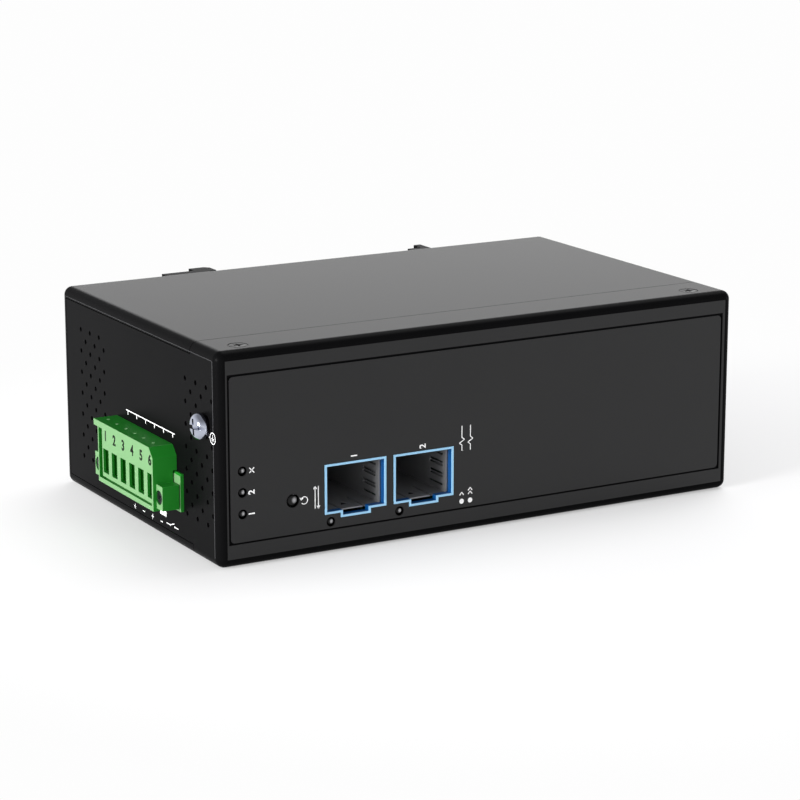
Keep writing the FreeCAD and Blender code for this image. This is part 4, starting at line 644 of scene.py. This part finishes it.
def newPlug():
    front, rear, low, high = plug["front"], plug["rear"], plug["low"], plug["high"]
    body = newBlock("plugBody", spot(front, low, plug["base"]), spot(plug["back"], high, plug["top"]))
    pickFaces(body, lambda centre, normal: True)
    bpy.ops.mesh.bisect(plane_co=spot(0, 0, plug["slant"]), plane_no=(0, 0, 1))
    settle(body)
    upper, near = spot(0, 0, plug["top"] - 0.1).z, spot(0, low + 0.5, 0).y
    pickEdges(body, lambda a, b: min(a.z, b.z) > upper and max(a.y, b.y) < near)
    bpy.ops.transform.translate(value=(0, plug["lean"] * 0.001, 0))
    settle(body)
    lip = newBlock("lip", spot(front, high - 0.5, plug["top"] - plug["lip"]),
                   spot(plug["back"], high + plug["lipReach"], plug["top"]))
    nose = newBlock("nose", spot(rear - 0.5, low + plugNose["start"], plugNose["base"]),
                    spot(plugNose["tip"], high - plugNose["end"], plugNose["top"]))
    first, last = plugEar["ends"]
    ears = []
    for start, end, middle in ((first, low + plugEar["overlap"], earMiddles[0]),
                               (high - plugEar["overlap"], last, earMiddles[1])):
        ear = newBlock("ear", spot(plugEar["face"], start, plugEar["base"]), spot(rear, end, plugEar["top"]))
        bore = newDisc("bore", plugEar["bore"], plugEar["boreDepth"])
        centre = (spot(plugEar["boreEnd"], 0, 0).x, middle, spot(0, 0, plugEar["boreRise"]).z)
        bore.data.transform(facing(centre, terminalSide, upwardZ))
        ears.append(cutWith(ear, bore))
    fuseWith(body, lip, *ears)
    beyond, floor = plugHollow["beyond"], front + plug["groove"]
    (a, b), (c, d), base = plugGroove["side"], plugGroove["low"], plugGroove["base"]
    cuts = [newBlock("under", spot(rear, low - beyond, plugHollow["base"]),
                     spot(plug["back"] + 0.2, high + beyond, plugHollow["top"])),
            newBlock("sideGroove", spot(front - 1, a, base), spot(floor, b, plugGroove["top"])),
            newBlock("lowGroove", spot(front - 1, c, base), spot(floor, d, plugGroove["lowTop"]))]
    for left, right in windowEnds():
        cuts.append(newBlock("window", spot(front - 1, right, plug["windowBase"]),
                             spot(front + plug["depth"], left, plug["windowTop"])))
    cutWith(body, *cuts)
    fuseWith(body, nose)
    soft = body.modifiers.new("soft", "BEVEL")
    soft.width = plug["edge"]
    soft.segments = 2
    soft.limit_method = "ANGLE"
    soft.angle_limit = math.radians(40)
    return applyAll(body)


def newOpeningShade():  # dark pieces inside the wire openings and on the bed of the upright groove, shaped as clamp faces: painted shade
    front, gap = plug["front"], clamp["gap"]
    shadePieces = []
    for left, right in windowEnds():
        shadePiece = newBlock("shadePiece", spot(front + clamp["front"], right + gap, plug["windowBase"] + gap),
                        spot(front + clamp["back"], left - gap, plug["windowTop"] - gap))
        pickFaces(shadePiece, lambda centre, normal: normal.x < -0.9)
        bpy.ops.mesh.inset(thickness=clamp["rim"])
        bpy.ops.mesh.extrude_region_move(TRANSFORM_OT_translate={"value": (clamp["sink"], 0, 0)})
        shadePieces.append(settle(shadePiece))
    (a, b), gap = plugGroove["side"], clamp["bedGap"]
    shadePieces.append(newBlock("grooveShade", spot(front + clamp["bedFront"], a + gap, plugGroove["base"] + gap),
                          spot(front + clamp["bedBack"], b - gap, plugGroove["top"] - gap)))
    return joined("openingShade", shadePieces)


addPiece(newPlug(), "housing", "terminal_green", replaces=["terminal_plug"])
# painted shade: dark green for the pieces inside the openings
shadeGreen = newFinish("shadeGreen", {"colour": (0.001, 0.035, 0.001), "second": (0.003, 0.055, 0.003),
                                      "roughness": 0.5, "specular": 0.02})
addPiece(newOpeningShade(), "housing", "terminal_green", shadeGreen)
print("plug made")


# Coat on the panel round the film, in the film's finish, which is lighter than the case paint: painted light,
# so that the front reads lighter than the ends

coat = {"out": (2.1, 2.1, 137.9, 47.9), "film": (2.5, 5.4, 137.25, 44.75), "proud": 0.012, "back": 0.004}
a, b, c, d = coat["out"]
skin = newBlock("panelLitCoat", spot(a, -coat["proud"], b), spot(c, coat["back"], d))
a, b, c, d = coat["film"]
cutWith(skin, newBlock("filmField", spot(a, -1, b), spot(c, 1, d)))
addPiece(skin, "housing", "case_paint", materials["overlay_film"])


# Printed marks: strokes, arcs and dots are drawn in millimetres on a flat drawing

ink = {"thickness": 0.00003, "lift": 0.00001, "line": 0.2}
printWhite = newFinish("printWhite", {"colour": (0.8, 0.8, 0.8), "second": (0.9, 0.9, 0.9), "roughness": 0.5,
                                      "depth": 0.000003})
printBlack = newFinish("printBlack", {"colour": (0.002, 0.004, 0.002), "roughness": 0.5, "depth": 0.000003,
                                      "specular": 0.05})
paleGreen = newFinish("paleGreen", {"colour": (0.25, 0.5, 0.23), "roughness": 0.45, "depth": 0.000003})
# painted highlight along the folds
foldHighlight = newFinish("foldHighlight", {"colour": (0.03, 0.03, 0.032), "second": (0.05, 0.05, 0.052),
                                  "roughness": 0.5, "specular": 0.05})
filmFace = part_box("front_overlay")[0].y - ink["lift"]
endFace = corner.x - ink["lift"]
plugFace = spot(plug["front"], 0, 0).x - ink["lift"]


def onFront(x, z):  # its top points to the terminal end, as the panel stands on its rail
    return Vector((corner.x + x * 0.001, filmFace, z * 0.001)), (0, 0, 1), (-1, 0, 0)


def onEnd(y, z, face=endFace):
    return Vector((face, corner.y + y * 0.001, z * 0.001)), terminalSide, upwardZ


def flatText(word, height, origin, right, up, bold=0.0):
    letGo()
    bpy.ops.object.text_add(location=(0, 0, 0))
    label = bpy.context.object
    label.data.body = word
    label.data.align_x = "CENTER"
    label.data.align_y = "CENTER"
    label.data.size = height / 0.7
    label.data.extrude = ink["thickness"] / 2
    label.data.offset = bold
    label.data.resolution_u = 6
    bpy.ops.object.convert(target="MESH")
    label = bpy.context.object
    settle(label)
    label.data.transform(facing(origin, right, up))
    return label


def bar(start, end, width, origin, right, up):  # a stroke between two points
    start, end = Vector(start) * 0.001, Vector(end) * 0.001
    along = end - start
    half = width * 0.0005
    stroke = newBlock("stroke", (0, -half, -ink["thickness"] / 2), (along.length, half, ink["thickness"] / 2))
    turn = Matrix.Translation((*start, 0)) @ Matrix.Rotation(math.atan2(along.y, along.x), 4, "Z")
    stroke.data.transform(facing(origin, right, up) @ turn)
    return stroke


def line(points, place):  # strokes of the usual width through several points
    return [bar(a, b, ink["line"], *place) for a, b in zip(points, points[1:])]


def ring(centre, radius, width, begin, sweep, origin, right, up):  # an arc
    letGo()
    bpy.ops.mesh.primitive_plane_add(size=1)
    piece = bpy.context.object
    piece.scale = (width * 0.001, 0.00001, 1)
    piece.location = (radius * 0.001, 0, 0)
    bpy.context.view_layer.update()
    settle(piece)
    pickFaces(piece, lambda c, n: True)
    bpy.ops.mesh.delete(type="ONLY_FACE")
    settle(piece)
    pickEdges(piece, lambda a, b: abs(a.x - b.x) > 1e-6 and a.y < 0)
    bpy.ops.mesh.select_all(action="INVERT")
    bpy.ops.mesh.delete(type="EDGE")
    bpy.ops.mesh.select_all(action="SELECT")
    steps = max(6, int(abs(sweep) / 9))
    bpy.ops.mesh.spin(steps=steps, angle=math.radians(sweep), center=(0, 0, 0), axis=(0, 0, 1))
    bpy.ops.mesh.select_all(action="SELECT")
    bpy.ops.mesh.remove_doubles(threshold=0.000001)
    settle(piece)
    thick = piece.modifiers.new("thick", "SOLIDIFY")
    thick.thickness = ink["thickness"]
    thick.offset = 0
    applyAll(piece)
    take(piece)
    bpy.ops.object.mode_set(mode="EDIT")
    bpy.ops.mesh.select_all(action="SELECT")
    bpy.ops.mesh.normals_make_consistent(inside=False)
    settle(piece)
    move = Matrix.Translation((centre[0] * 0.001, centre[1] * 0.001, 0))
    piece.data.transform(facing(origin, right, up) @ move @ Matrix.Rotation(math.radians(begin), 4, "Z"))
    return piece


def dot(centre, radius, origin, right, up):
    disc = newDisc("dot", radius * 0.001, ink["thickness"], 40)
    move = Matrix.Translation((centre[0] * 0.001, centre[1] * 0.001, -ink["thickness"] / 2))
    disc.data.transform(facing(origin, right, up) @ move)
    return disc


frontPlaces = {"portDigits": (("1", 34.6, 22.2), ("2", 52.7, 22.1)),
               "lightDigits": (("1", 8.35, 12.2), ("2", 8.35, 17.2)),
               "fault": (8.4, 22.3), "reset": (21.6, 13.4), "link": (24.8, 13.7),
               "speeds": (63.2, 65.5), "speedRise": 7.35, "pulseRise": 22.6}
frontMarks = []
for group, height, bold in (("portDigits", 0.0016, 0.00004), ("lightDigits", 0.0015, 0.00006)):
    frontMarks += [flatText(word, height, *onFront(x, z), bold=bold) for word, x, z in frontPlaces[group]]

# small cross beside the alarm light
fault = onFront(*frontPlaces["fault"])
frontMarks += [bar((-0.6, -0.6), (0.6, 0.6), 0.24, *fault), bar((-0.6, 0.6), (0.6, -0.6), 0.24, *fault)]

# turning arrow beside the reset button
arrow = onFront(*frontPlaces["reset"])
frontMarks += [ring((0, 0), 0.85, ink["line"], 60, 290, *arrow)]
frontMarks += line([(0.75, 1.05), (0.15, 0.8), (0.55, 0.3)], arrow)

# two opposed arrows beside the module ports
link = onFront(*frontPlaces["link"])
for side, way in ((0.42, 1), (-0.42, -1)):
    frontMarks += line([(-2.6, side), (2.6, side)], link)
    frontMarks += line([(way * 2.0, side + 0.38), (way * 2.65, side), (way * 2.0, side - 0.38)], link)

# legend of the port lights: a dot with one or two chevrons, and a pulse for traffic
for column, chevrons in zip(frontPlaces["speeds"], (1, 2)):
    legend = onFront(column, frontPlaces["speedRise"])
    frontMarks += [dot((0, 0), 0.6, *legend)]
    for index in range(chevrons):
        start = 1.5 + 0.9 * index
        frontMarks += [bar((start, side), (start + 0.7, 0), 0.22, *legend) for side in (0.55, -0.55)]
    pulse = [(-3.0, 0), (-1.6, 0), (-1.1, 0.7), (-0.3, -0.7), (0.2, 0), (3.0, 0)]
    frontMarks += line(pulse, onFront(column, frontPlaces["pulseRise"]))
addPiece(joined("frontPrint", frontMarks), "housing", "overlay_film", printWhite)

# digits over the plug's wire openings, and pale test points on its top
digit = {"height": 0.0024, "bold": 0.00012, "rise": 21.1, "places": (48.0, 42.95, 37.9, 32.85, 27.8, 22.95)}
digits = [flatText(str(index + 1), digit["height"], *onEnd(y, digit["rise"], plugFace), bold=digit["bold"])
          for index, y in enumerate(digit["places"])]
addPiece(joined("plugDigits", digits), "housing", "terminal_green", printBlack)
points = [dot((0, 0), 0.36, spot(-3.6, y, plug["top"] + 0.01), (1, 0, 0), (0, 1, 0)) for y in probePlaces]
addPiece(joined("probePoints", points), "housing", "terminal_green", paleGreen)

# earth sign joined to its screw by a line
endPlaces = {"earth": (2.4, 30.1), "poles": (45.5, 40.5, 35.5, 30.5), "poleRise": 3.8, "contact": (24.6, 4.2),
             "plate": (29.6, 6.2), "bracket": (36.0, 26.6)}
sign = onEnd(*endPlaces["earth"])
endMarks = [ring((0, 0), 1.3, 0.18, 0, 360, *sign), bar((0, 0.9), (0, -0.1), 0.16, *sign),
            bar((-4.5, 0), (-1.35, 0), 0.16, *sign)]
for index, half in enumerate((0.75, 0.5, 0.22)):
    endMarks += [bar((-half, -0.1 - 0.3 * index), (half, -0.1 - 0.3 * index), 0.14, *sign)]

# the poles' signs, a contact and a plain plate under the plug
for y, plus in zip(endPlaces["poles"], (True, False, True, False)):
    pole = onEnd(y, endPlaces["poleRise"])
    endMarks += line([(-0.6, 0), (0.6, 0)], pole) + (line([(0, -0.6), (0, 0.6)], pole) if plus else [])
contact = onEnd(*endPlaces["contact"])
endMarks += line([(-3.2, 0), (-1.2, 0), (1.0, 0.75)], contact) + line([(1.2, 0), (3.2, 0)], contact)
endMarks += [dot((side, 0), 0.22, *contact) for side in (-1.2, 1.2)]
endMarks += [bar((-1.7, 0), (1.7, 0), 1.2, *onEnd(*endPlaces["plate"]))]

# bracket that joins the six poles to their rating field
bracket = onEnd(*endPlaces["bracket"])
endMarks += [bar((-13.5, 0), (13.5, 0), 0.24, *bracket)]
endMarks += [bar((-12.5 + 5.0 * index, 0), (-12.5 + 5.0 * index, -1.0), 0.3, *bracket) for index in range(6)]

# lines along the folds, lighter than the case paint: a painted highlight where the bends begin
foldHighlights = [bar((0, 2.3), (0, 47.7), 0.25, *onEnd(2.2, 0, corner.x)),
         bar((-82.5, 0), (0, 0), 0.14, *onEnd(2.3, 47.8))]
addPiece(joined("foldLines", foldHighlights), "housing", "case_paint", foldHighlight)
addPiece(joined("endPrint", endMarks), "housing", "case_paint", printWhite)
print("marks printed")


# Floor: its shadow shows near the object, and the rest is plain

ground = {"size": 12, "drop": 0.0001, "colour": (0.93, 0.93, 0.93, 1), "shown": (0.985, 0.985, 0.985, 1),
          "middle": (0.035, -0.02, 0), "near": 0.08, "far": 0.21, "least": 0.35}
letGo()
bpy.ops.mesh.primitive_plane_add(size=ground["size"], location=(0, 0, cadBox[0].z - ground["drop"]))
floor = bpy.context.object
floor.name = "floor"
paleFloor = bpy.data.materials.new("paleFloor")
paleFloor.use_nodes = True
tree = paleFloor.node_tree
tree.nodes.remove(tree.nodes["Principled BSDF"])
diffuse = tree.nodes.new("ShaderNodeBsdfDiffuse")
diffuse.inputs["Color"].default_value = ground["colour"]
glow = tree.nodes.new("ShaderNodeEmission")
glow.inputs["Color"].default_value = ground["shown"]
paths = tree.nodes.new("ShaderNodeLightPath")
shown = mathNode(tree, "ADD", paths.outputs["Is Camera Ray"], paths.outputs["Is Glossy Ray"], clamp=True)
shown = mathNode(tree, "ADD", shown, paths.outputs["Is Transmission Ray"], clamp=True)
away = tree.nodes.new("ShaderNodeVectorMath")
away.operation = "DISTANCE"
away.inputs[1].default_value = ground["middle"]
fade = tree.nodes.new("ShaderNodeMapRange")
fade.interpolation_type = "SMOOTHSTEP"
fade.inputs["From Min"].default_value = ground["near"]
fade.inputs["From Max"].default_value = ground["far"]
fade.inputs["To Min"].default_value = ground["least"]
mixed = tree.nodes.new("ShaderNodeMixShader")
wire(tree, [(tree.nodes.new("ShaderNodeTexCoord").outputs["Object"], away.inputs[0]),
            (away.outputs["Value"], fade.inputs["Value"]),
            (mathNode(tree, "MULTIPLY", shown, fade.outputs["Result"]), mixed.inputs[0]),
            (diffuse.outputs[0], mixed.inputs[1]), (glow.outputs[0], mixed.inputs[2]),
            (mixed.outputs[0], tree.nodes["Material Output"].inputs["Surface"])])
floor.data.materials.append(paleFloor)


# Sky, lamps and camera

sky = {"strength": 1.12,
       "shades": ((0.0, (1, 1, 1, 1)), (0.3, (0.75, 0.75, 0.76, 1)), (0.8, (0.3, 0.3, 0.31, 1)))}
world = bpy.data.worlds.new("studio")
bpy.context.scene.world = world
world.use_nodes = True
tree = world.node_tree
back = tree.nodes["Background"]
split = tree.nodes.new("ShaderNodeSeparateXYZ")
ramp = tree.nodes.new("ShaderNodeValToRGB")
stops = ramp.color_ramp.elements
stops.remove(stops[1])
for index, (height, colour) in enumerate(sky["shades"]):
    shade = stops[0] if index == 0 else stops.new(height)
    shade.position = height
    shade.color = colour
wire(tree, [(tree.nodes.new("ShaderNodeTexCoord").outputs["Generated"], split.inputs[0]),
            (split.outputs["Z"], ramp.inputs["Fac"]), (ramp.outputs["Color"], back.inputs["Color"])])
back.inputs["Strength"].default_value = sky["strength"]

lamps = {
    "leftBox": {"kind": "AREA", "place": (-0.9, -0.14, 0.14), "size": 0.4, "power": 15.0},
    "rightBox": {"kind": "AREA", "place": (0.8, -0.42, 0.10), "size": 0.22, "power": 1.1},
    "backBox": {"kind": "AREA", "place": (0.62, 1.05, 0.33), "size": 0.8, "power": 4.4},
    "skyDisc": {"kind": "SUN", "place": (0.46, 0.2, 0.87), "size": math.radians(40), "power": 1.4},
}
housing = Vector((0, 0, 0.025))  # the housing's middle
for name, lamp in lamps.items():
    data = bpy.data.lights.new(name, lamp["kind"])
    if lamp["kind"] == "AREA":
        data.size = lamp["size"]
    else:
        data.angle = lamp["size"]
    data.energy = lamp["power"]
    light = bpy.data.objects.new(name, data)
    bpy.context.scene.collection.objects.link(light)
    light.location = lamp["place"]
    light.rotation_euler = (housing - light.location).to_track_quat("-Z", "Y").to_euler()

view = {"azimuth": -29.6, "elevation": 13.8, "lens": 124.9, "distance": 0.687,
        "aside": -0.0011, "above": 0.0032}
turn, tilt = math.radians(view["azimuth"]), math.radians(view["elevation"])
backwards = Vector((math.sin(turn) * math.cos(tilt), -math.cos(turn) * math.cos(tilt), math.sin(tilt)))
rightwards = Vector((math.cos(turn), math.sin(turn), 0))
upwards = backwards.cross(rightwards)
camera = bpy.data.objects.new("camera", bpy.data.cameras.new("camera"))
bpy.context.scene.collection.objects.link(camera)
camera.data.sensor_width = 36
camera.data.lens = view["lens"]
camera.data.clip_start = 0.01
camera.location = (housing + backwards * view["distance"] - rightwards * view["aside"]
                   - upwards * view["above"])
camera.rotation_euler = Matrix((rightwards, upwards, backwards)).transposed().to_euler()
bpy.context.scene.camera = camera
bpy.context.scene.view_settings.view_transform = "Standard"

print("scene ready")
